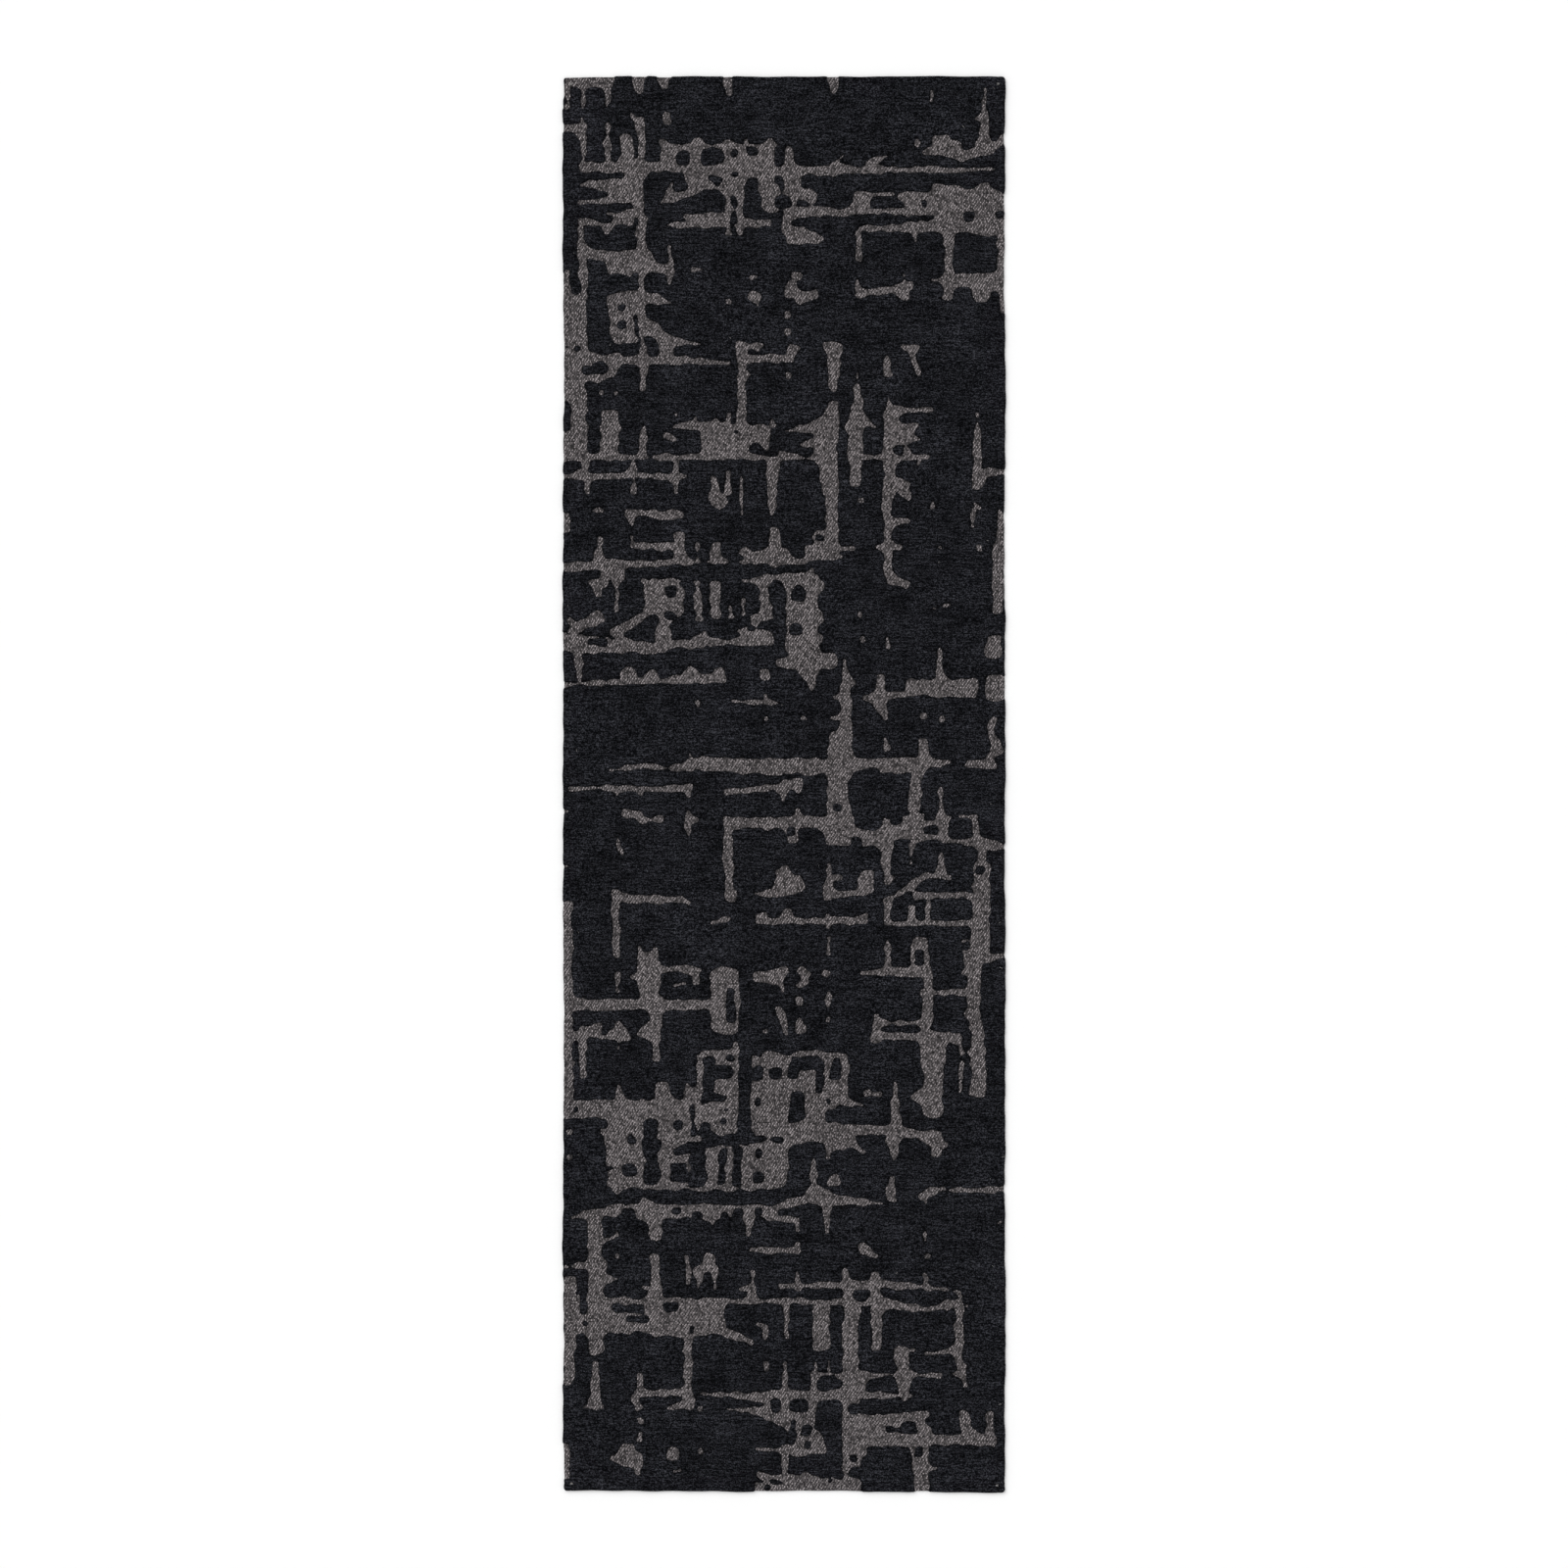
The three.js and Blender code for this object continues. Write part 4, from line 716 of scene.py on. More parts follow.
def closedSheet(outer, inner, faces):
    # joins a skin and its inner copy along their open edge
    count = len(outer)
    edges = np.concatenate([faces[:, [0, 1]], faces[:, [1, 2]], faces[:, [2, 0]]])
    keys = np.sort(edges, 1)
    keys = keys[:, 0] * count + keys[:, 1]
    once = np.isin(keys, np.unique(keys)[np.unique(keys, return_counts=True)[1] == 1])
    a, b = edges[once, 0], edges[once, 1]
    rim = np.concatenate([np.stack([b, a, a + count], 1), np.stack([b, a + count, b + count], 1)])
    return np.concatenate([outer, inner]), np.concatenate([faces, faces[:, ::-1] + count, rim])


# finishes
def addNode(tree, kind, **values):
    node = tree.nodes.new(kind)
    for name, value in values.items():
        setattr(node, name, value)
    return node


def maths(tree, operation, first, second=None, third=None, clamp=False):
    node = addNode(tree, "ShaderNodeMath", operation=operation, use_clamp=clamp)
    for slot, value in enumerate((first, second, third)):
        if value is None:
            continue
        if isinstance(value, (int, float)):
            node.inputs[slot].default_value = value
        else:
            tree.links.new(value, node.inputs[slot])
    return node.outputs[0]


def newGroup(name, inputs, outputs):
    group = bpy.data.node_groups.new(name, "ShaderNodeTree")
    for label, kind, value in inputs:
        socket = group.interface.new_socket(label, in_out="INPUT", socket_type=kind)
        if value is not None:
            socket.default_value = value
    for label, kind in outputs:
        group.interface.new_socket(label, in_out="OUTPUT", socket_type=kind)
    return group, addNode(group, "NodeGroupInput").outputs, addNode(group, "NodeGroupOutput").inputs


def noiseAt(tree, vector, detail=2.0, roughness=0.5):
    node = addNode(tree, "ShaderNodeTexNoise")
    node.inputs["Scale"].default_value = 1
    node.inputs["Detail"].default_value = detail
    node.inputs["Roughness"].default_value = roughness
    tree.links.new(vector, node.inputs["Vector"])
    return node.outputs["Fac"]


def stretched(tree, vector, across, along, offset=0.0):
    # counts the place in grains of the given size in metres
    parts = addNode(tree, "ShaderNodeSeparateXYZ")
    tree.links.new(vector, parts.inputs[0])
    joined = addNode(tree, "ShaderNodeCombineXYZ")
    for slot, size in enumerate((across, along, along)):
        grain = maths(tree, "DIVIDE", parts.outputs[slot], size)
        tree.links.new(maths(tree, "ADD", grain, offset), joined.inputs[slot])
    return joined.outputs[0]


yarnRowsMix = {
    "slubLength": 4.5,       # in tuft lengths
    "fibre": 0.75,           # in row pitches
    "tufts": 0.35,
    "slubs": 0.2,
    "fuzz": 0.75,
    "darkBelow": 0.58,
    "lightAbove": 0.92,
}


def makeYarnRows():
    # short fuzzy tufts of yarn that lie along X; the streak paints light on the tufts and shade in the gaps
    # between them
    v = yarnRowsMix
    group, given, out = newGroup(
        "yarn rows",
        [("Vector", "NodeSocketVector", None), ("Tuft length", "NodeSocketFloat", 0.013),
         ("Row pitch", "NodeSocketFloat", 0.0033)],
        [("Streak", "NodeSocketFloat"), ("Fuzz", "NodeSocketFloat")],
    )
    length, pitch = given["Tuft length"], given["Row pitch"]
    tufts = noiseAt(group, stretched(group, given["Vector"], length, pitch), 1.5, 0.55)
    slubLength = maths(group, "MULTIPLY", length, v["slubLength"])
    slubs = noiseAt(group, stretched(group, given["Vector"], slubLength, pitch, 5.3), 1.0, 0.5)
    fibre = maths(group, "MULTIPLY", pitch, v["fibre"])
    fuzz = noiseAt(group, stretched(group, given["Vector"], fibre, fibre, 9.1), 2.0, 0.6)
    both = maths(group, "MULTIPLY_ADD", tufts, v["tufts"], maths(group, "MULTIPLY", slubs, v["slubs"]))
    both = maths(group, "MULTIPLY_ADD", fuzz, v["fuzz"], both)
    spread = addNode(group, "ShaderNodeMapRange", interpolation_type="SMOOTHSTEP")
    group.links.new(both, spread.inputs["Value"])
    spread.inputs["From Min"].default_value = v["darkBelow"]
    spread.inputs["From Max"].default_value = v["lightAbove"]
    group.links.new(spread.outputs["Result"], out["Streak"])
    group.links.new(fuzz, out["Fuzz"])
    return group


twillMix = {
    "rarity": 1.35,          # above one, fewer crossings are light
    "least": 0.01,
    "rimFall": 1.5,          # how fast a crossing falls away towards its rim, in bump height and in colour as painted shade
    "slubGain": 2.6,
    "slubShift": -0.3,
}


def makeTwill():
    # each crossing of two yarns is a cell, light or dark by chance and by the twill's slanting lines, and
    # darkened towards its rim by painted shade
    v = twillMix
    group, given, out = newGroup(
        "twill",
        [("Vector", "NodeSocketVector", None), ("Yarn", "NodeSocketFloat", 0.0017),
         ("Row", "NodeSocketFloat", 0.0025), ("Repeat", "NodeSocketFloat", 3.0),
         ("Wander", "NodeSocketFloat", 0.25), ("Lines", "NodeSocketFloat", 0.5),
         ("Flecks", "NodeSocketFloat", 0.53)],
        [("Light yarn and rim shade", "NodeSocketFloat"), ("Height", "NodeSocketFloat")],
    )
    cells = addNode(group, "ShaderNodeTexVoronoi", voronoi_dimensions="2D")
    cells.inputs["Scale"].default_value = 1
    crossings = stretched(group, given["Vector"], given["Yarn"], given["Row"], 3.7)
    group.links.new(crossings, cells.inputs["Vector"])
    group.links.new(given["Wander"], cells.inputs["Randomness"])
    middle = addNode(group, "ShaderNodeSeparateXYZ")
    group.links.new(cells.outputs["Position"], middle.inputs[0])
    chance = addNode(group, "ShaderNodeSeparateColor")
    group.links.new(cells.outputs["Color"], chance.inputs[0])
    steps = maths(group, "SUBTRACT", middle.outputs["X"], middle.outputs["Y"])
    turns = maths(group, "DIVIDE", steps, given["Repeat"])
    wave = maths(group, "COSINE", maths(group, "MULTIPLY", turns, 2 * math.pi))
    lined = maths(group, "MULTIPLY_ADD", wave, given["Lines"], 1.0)
    rare = maths(group, "POWER", chance.outputs[0], v["rarity"])
    fleck = maths(group, "MULTIPLY_ADD", rare, given["Flecks"], v["least"])
    sunken = maths(group, "POWER", cells.outputs["Distance"], 2)
    rounded = maths(group, "MULTIPLY_ADD", sunken, -v["rimFall"], 1.0, clamp=True)
    slubs = noiseAt(group, stretched(group, given["Vector"], given["Row"], given["Row"], 8.1), 1.0, 0.5)
    slubbed = maths(group, "MULTIPLY_ADD", slubs, v["slubGain"], v["slubShift"], clamp=True)
    light = maths(group, "MULTIPLY", lined, fleck)
    # painted shade: each crossing's colour darkens towards its rim, in the gaps between the yarns
    seen = maths(group, "MULTIPLY", light, maths(group, "MULTIPLY", rounded, slubbed))
    group.links.new(seen, out["Light yarn and rim shade"])
    group.links.new(rounded, out["Height"])
    return group


def makeWear():
    # broad, faint changes of tone: traffic, dust and the lie of the yarn
    group, given, out = newGroup(
        "wear",
        [("Vector", "NodeSocketVector", None), ("Patch", "NodeSocketFloat", 0.12),
         ("Least", "NodeSocketFloat", 0.85), ("Most", "NodeSocketFloat", 1.15)],
        [("Tone", "NodeSocketFloat")],
    )
    place = stretched(group, given["Vector"], given["Patch"], given["Patch"], 11.3)
    tone = addNode(group, "ShaderNodeMapRange")
    group.links.new(noiseAt(group, place, 4.0, 0.6), tone.inputs["Value"])
    tone.inputs["From Min"].default_value = 0.3
    tone.inputs["From Max"].default_value = 0.7
    group.links.new(given["Least"], tone.inputs["To Min"])
    group.links.new(given["Most"], tone.inputs["To Max"])
    group.links.new(tone.outputs["Result"], out["Tone"])
    return group


yarnRows = makeYarnRows()
twill = makeTwill()
wear = makeWear()


def startMaterial(name, roughness, sheen, shine=0.05):
    material = bpy.data.materials.new(name)
    material.use_nodes = True
    tree = material.node_tree
    shader = tree.nodes["Principled BSDF"]
    shader.inputs["Roughness"].default_value = roughness
    shader.inputs["Sheen Weight"].default_value = sheen
    shader.inputs["Sheen Roughness"].default_value = 0.5
    shader.inputs["Specular IOR Level"].default_value = shine
    place = addNode(tree, "ShaderNodeTexCoord").outputs["Object"]
    return material, tree, shader, place


def useGroup(tree, group, vector, **values):
    node = addNode(tree, "ShaderNodeGroup", node_tree=group)
    tree.links.new(vector, node.inputs["Vector"])
    for name, value in values.items():
        label = name[0].upper() + "".join(" " + c.lower() if c.isupper() else c for c in name[1:])
        node.inputs[label].default_value = value
    return node.outputs


def yarnColour(tree, shader, mask, tone, dark, light):
    # mixes two yarn colours by the mask, and shades the mix by the tone
    mix = addNode(tree, "ShaderNodeMix", data_type="RGBA")
    tree.links.new(mask, mix.inputs["Factor"])
    mix.inputs["A"].default_value = (*dark, 1)
    mix.inputs["B"].default_value = (*light, 1)
    shaded = addNode(tree, "ShaderNodeVectorMath", operation="SCALE")
    tree.links.new(mix.outputs["Result"], shaded.inputs[0])
    tree.links.new(tone, shaded.inputs["Scale"])
    tree.links.new(shaded.outputs[0], shader.inputs["Base Color"])


def addBump(tree, shader, height, depth):
    bump = addNode(tree, "ShaderNodeBump")
    bump.inputs["Strength"].default_value = 1
    bump.inputs["Distance"].default_value = depth
    tree.links.new(height, bump.inputs["Height"])
    tree.links.new(bump.outputs[0], shader.inputs["Normal"])


chenilleFinish = {
    # one black yarn: dark is the painted shade in the gaps between tufts, light the painted light on their
    # tops
    "dark": (0.0012, 0.0013, 0.0019),
    "light": (0.052, 0.0535, 0.064),
    "tuftLength": 6.5 * mm,
    "rowPitch": 2.7 * mm,
    "bump": 0.35 * mm,
    "paintedRimShade": 0.4,        # how dark the painted shade makes the pile at its rim
    "patch": 35 * mm,
    "patchTones": (0.55, 1.45),
}
groundFinish = {
    "dark": (0.012, 0.0112, 0.0115),
    "light": (0.525, 0.474, 0.484),
    "yarn": 1.67 * mm,
    "row": 2.5 * mm,
    "repeat": 3.0,           # yarns from one slanting line to the next
    "lines": 0.85,           # how strongly the lines show
    "bump": 0.4 * mm,
    "patch": 50 * mm,
    "patchTones": (0.88, 1.12),
}
hemFinish = {"dark": (0.012, 0.0115, 0.012), "light": (0.2, 0.18, 0.18)}
latexFinish = {
    "dark": (0.21, 0.2, 0.185),
    "light": (0.32, 0.305, 0.28),
    "grain": 2.4 * mm,
    "lines": 0.3,
    "wander": 0.3,
    "bump": 0.35 * mm,
    "patch": 90 * mm,
    "patchTones": (0.86, 1.1),
}
threadFinish = {
    "tuftLength": 0.9 * mm,
    "rowPitch": 0.5 * mm,
    "bump": 0.15 * mm,
    "patch": 20 * mm,
    "patchTones": (0.8, 1.2),
}
# dark and light of each thread: its painted shade and its painted light
seamColours = {"dark": (0.006, 0.006, 0.007), "light": (0.03, 0.03, 0.034)}
tackColours = {"dark": (0.3, 0.29, 0.28), "light": (0.62, 0.6, 0.58)}


def patches(tree, place, v):
    least, most = v["patchTones"]
    return useGroup(tree, wear, place, patch=v["patch"], least=least, most=most)["Tone"]


def chenille():
    v = chenilleFinish
    material, tree, shader, place = startMaterial("black chenille", 0.95, 0.03, 0.015)
    rows = useGroup(tree, yarnRows, place, tuftLength=v["tuftLength"], rowPitch=v["rowPitch"])
    tone = patches(tree, place, v)
    # painted shade: the pile darkens towards its rim, where it meets the ground
    depth = addNode(tree, "ShaderNodeAttribute", attribute_name="paintedShadeDepth").outputs["Fac"]
    shade = maths(tree, "MULTIPLY_ADD", depth, 1 - v["paintedRimShade"], v["paintedRimShade"])
    tone = maths(tree, "MULTIPLY", tone, shade)
    # the streaks paint light on the tufts and shade between them; the tone holds the wear and the rim's
    # painted shade
    yarnColour(tree, shader, rows["Streak"], tone, v["dark"], v["light"])
    addBump(tree, shader, rows["Fuzz"], v["bump"])
    return material


def groundTwill(name, colours):
    v = groundFinish
    material, tree, shader, place = startMaterial(name, 0.9, 0.08)
    weave = useGroup(tree, twill, place, yarn=v["yarn"], row=v["row"], repeat=v["repeat"], lines=v["lines"])
    tone = patches(tree, place, v)
    yarnColour(tree, shader, weave["Light yarn and rim shade"], tone, colours["dark"], colours["light"])
    addBump(tree, shader, weave["Height"], v["bump"])
    return material


def latexCoat():
    v = latexFinish
    material, tree, shader, place = startMaterial("latex coat", 0.7, 0.0)
    weave = useGroup(
        tree, twill, place, yarn=v["grain"], row=v["grain"], lines=v["lines"], wander=v["wander"],
    )
    yarnColour(tree, shader, weave["Light yarn and rim shade"], patches(tree, place, v), v["dark"], v["light"])
    addBump(tree, shader, weave["Height"], v["bump"])
    return material


def thread(name, colours):
    v = threadFinish
    material, tree, shader, place = startMaterial(name, 0.6, 0.1)
    rows = useGroup(tree, yarnRows, place, tuftLength=v["tuftLength"], rowPitch=v["rowPitch"])
    # the streaks paint light on the thread's tufts and shade between them
    yarnColour(tree, shader, rows["Streak"], patches(tree, place, v), colours["dark"], colours["light"])
    addBump(tree, shader, rows["Fuzz"], v["bump"])
    return material


print("finishes")
chenilleLook = chenille()
groundLook = groundTwill("grey twill", groundFinish)
hemLook = groundTwill("turned hem twill", hemFinish)
latexLook = latexCoat()
seamLook = thread("black sewing thread", seamColours)
tackLook = thread("pale tacking thread", tackColours)


# the woven ground: one thin sheet with its border turned round the folded edge
clothValues = {
    "step": 10 * mm,
    "edgeStep": 0.55 * mm,
    "thickness": 1.4 * mm,
    "turn": math.radians(172),
}


def makeGround():
    v = clothValues
    xs = gridLines(startX, v["step"], v["edgeStep"], v["turn"])
    ys = gridLines(startY, v["step"], v["edgeStep"], v["turn"])
    u, w = np.meshgrid(xs, ys)
    keep = edgeInset(u, w) + foldRadius * v["turn"]
    (u, w), faces, _ = trimmed(keep, [u, w])
    outer = turnEdge(u, w, np.zeros(len(u)))
    inner = turnEdge(u, w, np.full(len(u), -v["thickness"]))
    points, faces = closedSheet(outer, inner, faces)
    piece = meshPiece("woven_ground", settle(points), faces, groundLook)
    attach(piece, "root")
    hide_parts("ground_weave")
    return piece


# the chenille pile: raised skins over the ground, in crosswise bands
pileValues = {
    "stepAcross": 2.0 * mm,
    "stepAlong": 1.1 * mm,
    "edgeStep": 0.5 * mm,
    "turn": math.radians(160),
    "rise": 2.0 * mm,           # the pile's height over the ground
    "sunk": 0.25 * mm,          # how far its rim is buried in the ground
    "shoulder": 4.2 * mm,       # how far in from its rim it reaches its height
    "rowPitch": 3.3 * mm,
    "rowDepth": 0.11 * mm,
    "tuftDepth": 0.1 * mm,
    "swellDepth": 0.3 * mm,
    "unevenDepth": 0.1 * mm,
    "seamDepth": 0.45 * mm,
    "seamWidth": 1.6 * mm,
    "bands": 10,
    "rowWander": 0.22,          # in rows
    "lobeRim": 0.4,             # distance from a lobe's middle where the skin starts to sink
    "lobeSlope": 0.3,           # and over how much more it sinks fully
    "lobeFade": 14 * mm,        # over this depth of pile the lobes fade out
    "lobeHold": 1.6,            # how many such depths from the ground they are gone
    "shaded": 3 * mm,           # how wide the painted shade along the pile's rim is
}


def makePile():
    v = pileValues
    xs = gridLines(startX, v["stepAcross"], v["edgeStep"], v["turn"])
    ys = gridLines(startY, v["stepAlong"], v["edgeStep"], v["turn"])
    u, w = np.meshgrid(xs, ys)
    inset = edgeInset(u, w)
    depth = -sampled(figure, u, w) * 10 * mm
    keep = np.minimum(depth, inset + foldRadius * v["turn"])
    swell = np.clip((sampled(lobeSwell, u, w) - v["lobeRim"]) / v["lobeSlope"], 0, 1)
    nearGround = np.clip(v["lobeHold"] - depth / v["lobeFade"], 0, 1)
    tufts = clouds(u.shape, 31, 2.4, 1.0)
    uneven = clouds(u.shape, 32, 7, 14)
    wander = clouds(u.shape, 33, 16, 6)
    rowsAt = np.cos(2 * math.pi * (w / v["rowPitch"] + v["rowWander"] * wander))
    sideDent = np.exp(-((seamX - np.abs(u)) / v["seamWidth"]) ** 2)
    endDent = np.exp(-((seamY - np.abs(w)) / v["seamWidth"]) ** 2)
    relief = v["rowDepth"] * rowsAt + v["tuftDepth"] * tufts + v["unevenDepth"] * uneven
    relief = relief - v["swellDepth"] * swell * nearGround
    relief = relief - v["seamDepth"] * np.maximum(sideDent, endDent)
    (u, w, depth, relief), faces, row = trimmed(keep, [u, w, depth, relief])
    full = np.sin(math.pi / 2 * np.clip(depth / v["shoulder"], 0, 1))
    points = turnEdge(u, w, (v["rise"] + relief) * full - v["sunk"] * (1 - full))
    points = settle(points)
    normals = pointNormals(points, faces)
    band = row * v["bands"] // (len(ys) - 1)
    pieces = []
    for number in range(v["bands"]):
        used, part = np.unique(faces[band == number], return_inverse=True)
        name = f"chenille_pile_{number + 1:02d}"
        piece = meshPiece(name, points[used], part.reshape(-1, 3), chenilleLook, normals[used])
        # the depth into the pile, which paints shade along its rim
        paintedShadeMask = piece.data.attributes.new("paintedShadeDepth", "FLOAT", "POINT")
        paintedShadeMask.data.foreach_set("value", np.clip(depth[used] / v["shaded"], 0, 1).astype(np.float32))
        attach(piece, "root")
        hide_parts("chenille_pile")
        pieces.append(piece)
    print("pile triangles", len(faces))
    return pieces


# the latex coat lies inside the turned hem
latexValues = {"step": 8 * mm, "thickness": 1.5 * mm, "floorGap": 0.03 * mm}


def makeLatex():
    v = latexValues
    xs = np.linspace(latexLow.x, latexHigh.x, round((latexHigh.x - latexLow.x) / v["step"]) + 1)
    ys = np.linspace(latexLow.y, latexHigh.y, round((latexHigh.y - latexLow.y) / v["step"]) + 1)
    u, w = np.meshgrid(xs, ys)
    (u, w), faces, _ = trimmed(np.ones_like(u), [u, w])
    low = np.stack([u, w, np.full(len(u), latexLow.z + v["floorGap"])], 1)
    high = low + [0, 0, v["thickness"]]
    points, faces = closedSheet(high, low, faces)
    piece = meshPiece("latex_coat", settle(points), faces, latexLook)
    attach(piece, "root")
    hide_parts("latex_backing")
    return piece


# four hem flaps, mitred at the corners
hemValues = {
    "step": 20 * mm,
    "start": 2.2 * mm,
    "short": 0.2 * mm,          # how far it ends before the hem's inner edge
    "mitreGap": 0.15 * mm,
    "edge": 0.45 * mm,
    "gap": 0.05 * mm,           # above and below the flap
}


def makeHem(name, half, out, turn):
    # half: half the length of this side; out: distance from the rug's middle to its edge
    v = hemValues
    low, high, edge = v["gap"], latexHigh.z - v["gap"], v["edge"]
    near, far = v["start"], hemWidth - v["short"]
    section = [
        (near, low + edge), (near + edge, low), (far - edge, low), (far, low + edge),
        (far, high - edge), (far - edge, high), (near + edge, high), (near, high - edge),
    ]
    stations = np.linspace(-(half - hemWidth), half - hemWidth, round(2 * half / v["step"]))
    rings = []
    for inset, z in section:
        end = half - inset - v["mitreGap"]
        rings.append([(s, out - inset, z) for s in (-end, *stations, end)])
    points = np.array(rings).transpose(1, 0, 2).reshape(-1, 3)
    cos, sin = round(math.cos(turn)), round(math.sin(turn))
    turned = points.copy()
    turned[:, 0] = points[:, 0] * cos - points[:, 1] * sin
    turned[:, 1] = points[:, 0] * sin + points[:, 1] * cos
    size = len(section)
    faces = []
    for station in range(len(stations) + 1):
        for k in range(size):
            a, b = station * size + k, station * size + (k + 1) % size
            faces.append((a, a + size, b + size, b))
    last = len(points) - size
    faces.append(tuple(range(size)))
    faces.append(tuple(last + k for k in reversed(range(size))))
    piece = facedPiece(name, turned, faces, hemLook)
    deselect()
    piece.select_set(True)
    bpy.context.view_layer.objects.active = piece
    bpy.ops.object.mode_set(mode="EDIT")
    bpy.ops.mesh.select_all(action="SELECT")
    bpy.ops.mesh.normals_make_consistent(inside=False)
    bpy.ops.object.mode_set(mode="OBJECT")
    bpy.ops.object.shade_smooth_by_angle(angle=math.radians(50))
    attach(piece, "root")
    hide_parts(name.replace("_flap", ""))
    return piece


# sewing: a stitch is modelled once, then copied along its seam
stitchValues = {
    "pitch": 5 * mm,
    "length": 3.6 * mm,
    "thick": 0.45 * mm,
    "sides": 6,
    "overCloth": 0.12 * mm,
    "overFloor": 0.28 * mm,
}


def makeStitch(name, length, thick, look, arch=0.3 * mm):
    # one stitch: a short thread that dips into the cloth at both ends
    deselect()
    bpy.ops.mesh.primitive_cylinder_add(
        vertices=stitchValues["sides"], radius=thick / 2, depth=length / 5, end_fill_type="NGON",
        rotation=(0, math.pi / 2, 0),
    )
    stitch = bpy.context.active_object
    stitch.name = name
    bpy.ops.object.transform_apply(location=True, rotation=True, scale=True)
    for side in (1, -1):
        for reach, narrow, dip in ((0.28, 0.95, 0.35), (0.12, 0.55, 0.65)):
            bpy.ops.object.mode_set(mode="EDIT")
            bpy.ops.mesh.select_mode(type="FACE")
            bpy.ops.mesh.select_all(action="DESELECT")
            bpy.ops.object.mode_set(mode="OBJECT")
            end = max(stitch.data.polygons, key=lambda face: face.center.x * side)
            end.select = True
            bpy.ops.object.mode_set(mode="EDIT")
            bpy.ops.mesh.extrude_region_move(
                TRANSFORM_OT_translate={"value": (side * reach * length, 0, -dip * arch)}
            )
            bpy.ops.transform.resize(value=(1, narrow, narrow))
    bpy.ops.object.mode_set(mode="OBJECT")
    stitch.data.materials.append(look)
    bpy.ops.object.shade_smooth()
    return stitch


def copyAlong(stitch, places, turn, flip=False):
    # copies of the stitch at each place, each turned about Z; flip puts it upside down
    count = len(stitch.data.vertices)
    base = np.empty(count * 3)
    stitch.data.vertices.foreach_get("co", base)
    base = base.reshape(-1, 3)
    if flip:
        base = base * [1, -1, -1]
    spin = np.array([[math.cos(turn), math.sin(turn), 0], [-math.sin(turn), math.cos(turn), 0], [0, 0, 1]])
    base = base @ spin
    faces = [tuple(face.vertices) for face in stitch.data.polygons]
    points = np.concatenate([base + place for place in places])
    allFaces = [tuple(k + n * count for k in face) for n in range(len(places)) for face in faces]
    return points, allFaces


def sewSeam(name, node, start, end, turn):
    # a row of stitches on the face, sunk in the pile, and one below that holds the hem
    v = stitchValues
    stitch = makeStitch("one_stitch", v["length"], v["thick"], seamLook)
    count = round((Vector(end) - Vector(start)).length / v["pitch"])
    t = (np.arange(count) + 0.5)[:, None] / count
    along = np.array(start) + (np.array(end) - np.array(start)) * t
    bare = sampled(figure, along[:, 0], along[:, 1]) > 0
    inPile = clothHigh.z + pileValues["rise"] - pileValues["seamDepth"]
    faceZ = np.where(bare, clothHigh.z + v["overCloth"], inPile)
    above = along + np.stack([0 * faceZ, 0 * faceZ, faceZ], 1)
    below = along + [0, 0, v["overFloor"]]
    topPoints, topFaces = copyAlong(stitch, above, turn)
    lowPoints, lowFaces = copyAlong(stitch, below, turn, flip=True)
    faces = topFaces + [tuple(k + len(topPoints) for k in face) for face in lowFaces]
    bpy.data.objects.remove(stitch)
    piece = facedPiece(name, np.concatenate([topPoints, lowPoints]), faces, seamLook)
    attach(piece, "root")
    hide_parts(node)
    return piece


tackValues = {
    "count": 3,
    "pitch": 1.1 * mm,
    "length": 4.6 * mm,
    "thick": 0.55 * mm,
    "arch": 0.8 * mm,
    "overCloth": 2.3 * mm,
    "slant": 14,             # degrees either way
    "stray": 0.5,            # mm either way
}


def sewTack(name, node, x, y):
    # a bar tack over the corner where two seams meet
    v = tackValues
    stitch = makeStitch("one_tack", v["length"], v["thick"], tackLook, arch=v["arch"])
    dice = random.Random(name)
    parts, faces, count = [], [], 0
    for k in range(v["count"]):
        turn = math.radians(dice.uniform(-v["slant"], v["slant"]))
        placeX = x + dice.uniform(-v["stray"], v["stray"]) * mm
        placeY = y + (k - (v["count"] - 1) // 2) * v["pitch"]
        points, some = copyAlong(stitch, [(placeX, placeY, clothHigh.z + v["overCloth"])], turn)
        parts.append(points)
        faces += [tuple(n + count for n in face) for face in some]
        count += len(points)
    bpy.data.objects.remove(stitch)
    piece = facedPiece(name, np.concatenate(parts), faces, tackLook)
    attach(piece, "root")
    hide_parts(node)
    return piece


# loose fibre ends: a few pale hairs that cling to the pile, most of them near the edges
fibreValues = {
    "count": 34,
    "length": 5.5 * mm,
    "thick": 0.5 * mm,
    "nearEdge": 0.6,         # the share that lies close to an edge
    "edgeReach": 0.03,
    "edgeRoom": 4 * mm,      # kept free inside the seams by the others
    "pileRoom": 0.35,        # cm of pile wanted round each end
    "overPile": 0.3 * mm,
    "arch": 0.5 * mm,
}


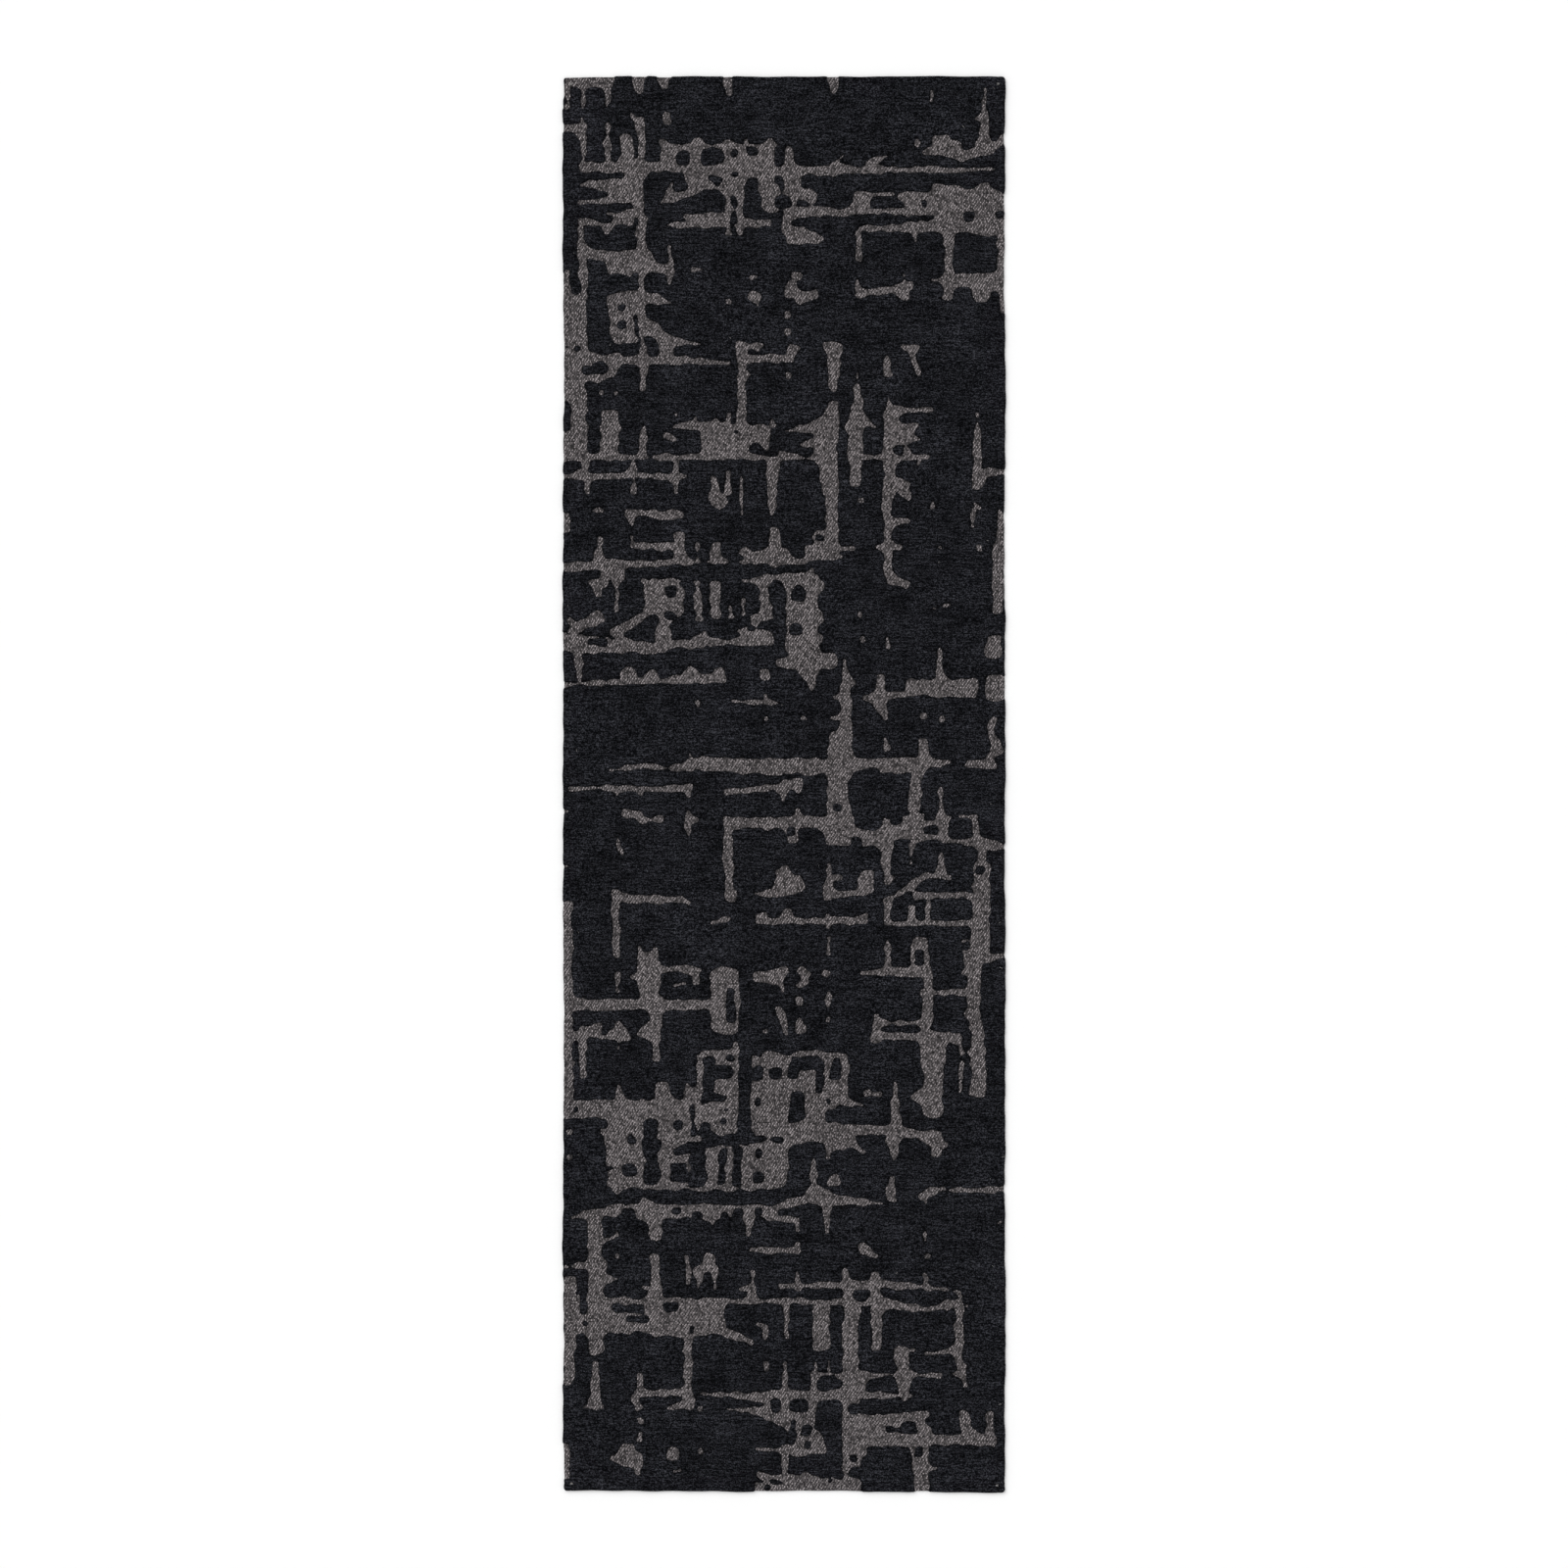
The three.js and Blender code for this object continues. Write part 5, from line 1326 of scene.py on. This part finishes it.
def makeFibreEnds():
    v = fibreValues
    hair = makeStitch("one_fibre", v["length"], v["thick"], tackLook, arch=v["arch"])
    dice = random.Random(61)
    parts, faces, count = [], [], 0
    while len(parts) < v["count"]:
        x = dice.uniform(-1, 1) * (seamX - v["edgeRoom"])
        y = dice.uniform(-1, 1) * (seamY - v["edgeRoom"])
        if dice.random() < v["nearEdge"]:
            past = dice.uniform(0.1, 0.3) * v["edgeReach"] * dice.choice((1, -2))
            x = math.copysign(seamX + past, x)
        turn = math.radians(dice.uniform(0, 180))
        bare = sampled(figure, np.array([x]), np.array([y]))[0] > -v["pileRoom"]
        size = dice.uniform(0.35, 1)
        if bare:
            continue
        place = np.array([x, y, clothHigh.z + pileValues["rise"] + v["overPile"]])
        points, some = copyAlong(hair, [np.zeros(3)], turn)
        parts.append(points * [size, size, 1] + place)
        faces += [tuple(n + count for n in face) for face in some]
        count += len(points)
    bpy.data.objects.remove(hair)
    piece = facedPiece("loose_fibre_ends", np.concatenate(parts), faces, tackLook)
    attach(piece, "root")
    return piece


# camera straight above
cameraValues = {"view": 2.66, "lens": 85, "sensor": 36}


def makeCamera():
    v = cameraValues
    deselect()
    height = v["view"] * v["lens"] / v["sensor"]
    bpy.ops.object.camera_add(location=(0, 0, height), rotation=(0, 0, 0))
    camera = bpy.context.active_object
    camera.data.lens = v["lens"]
    camera.data.sensor_width = v["sensor"]
    camera.data.dof.use_dof = False
    camera.data.clip_end = 100
    bpy.context.scene.camera = camera


studioValues = {
    "sky": 0.75,
    "key": 1.6,
    "keySpread": math.radians(50),
    "keyFrom": (-2.3, 2.9, 3.2),
    "floor": (0.93, 0.93, 0.93),
    "floorDrop": 0.2 * mm,
}


def makeStudio():
    v = studioValues
    deselect()
    bpy.ops.mesh.primitive_plane_add(size=60)
    floor = bpy.context.active_object
    floor.name = "floor"
    floor.location.z = -v["floorDrop"]
    material = bpy.data.materials.new("pale floor")
    material.use_nodes = True
    shader = material.node_tree.nodes["Principled BSDF"]
    shader.inputs["Base Color"].default_value = (*v["floor"], 1)
    shader.inputs["Roughness"].default_value = 0.8
    floor.data.materials.append(material)
    world = bpy.data.worlds.new("studio")
    world.use_nodes = True
    world.node_tree.nodes["Background"].inputs["Color"].default_value = (1, 1, 1, 1)
    world.node_tree.nodes["Background"].inputs["Strength"].default_value = v["sky"]
    bpy.context.scene.world = world
    lamp = bpy.data.lights.new("key", "SUN")
    lamp.energy = v["key"]
    lamp.angle = v["keySpread"]
    key = bpy.data.objects.new("key", lamp)
    bpy.context.scene.collection.objects.link(key)
    key.location = v["keyFrom"]
    key.rotation_euler = (-key.location).to_track_quat("-Z", "Y").to_euler()
    bpy.context.scene.view_settings.view_transform = "Standard"


print("camera and studio")
makeCamera()
makeStudio()

print("woven ground")
ground = makeGround()
print("chenille pile")
pile = makePile()
print("latex coat and hems")
latex = makeLatex()
flaps = [
    makeHem("hem_back_flap", halfWidth, halfLength, 0),
    makeHem("hem_left_flap", halfLength, halfWidth, math.pi / 2),
    makeHem("hem_front_flap", halfWidth, halfLength, math.pi),
    makeHem("hem_right_flap", halfLength, halfWidth, -math.pi / 2),
]
print("sewing")
seams = [
    sewSeam("seam_left_stitches", "hem_seam_left", (-seamX, -seamY, 0), (-seamX, seamY, 0), math.pi / 2),
    sewSeam("seam_right_stitches", "hem_seam_right", (seamX, -seamY, 0), (seamX, seamY, 0), math.pi / 2),
    sewSeam("seam_front_stitches", "hem_seam_front", (-seamX, -seamY, 0), (seamX, -seamY, 0), 0),
    sewSeam("seam_back_stitches", "hem_seam_back", (-seamX, seamY, 0), (seamX, seamY, 0), 0),
]
for endName, y in (("front", -seamY), ("back", seamY)):
    for sideName, x in (("left", -seamX), ("right", seamX)):
        corner = f"{endName}_{sideName}"
        sewTack(f"tack_{corner}", f"corner_tack_{corner}", x, y)
fibres = makeFibreEnds()
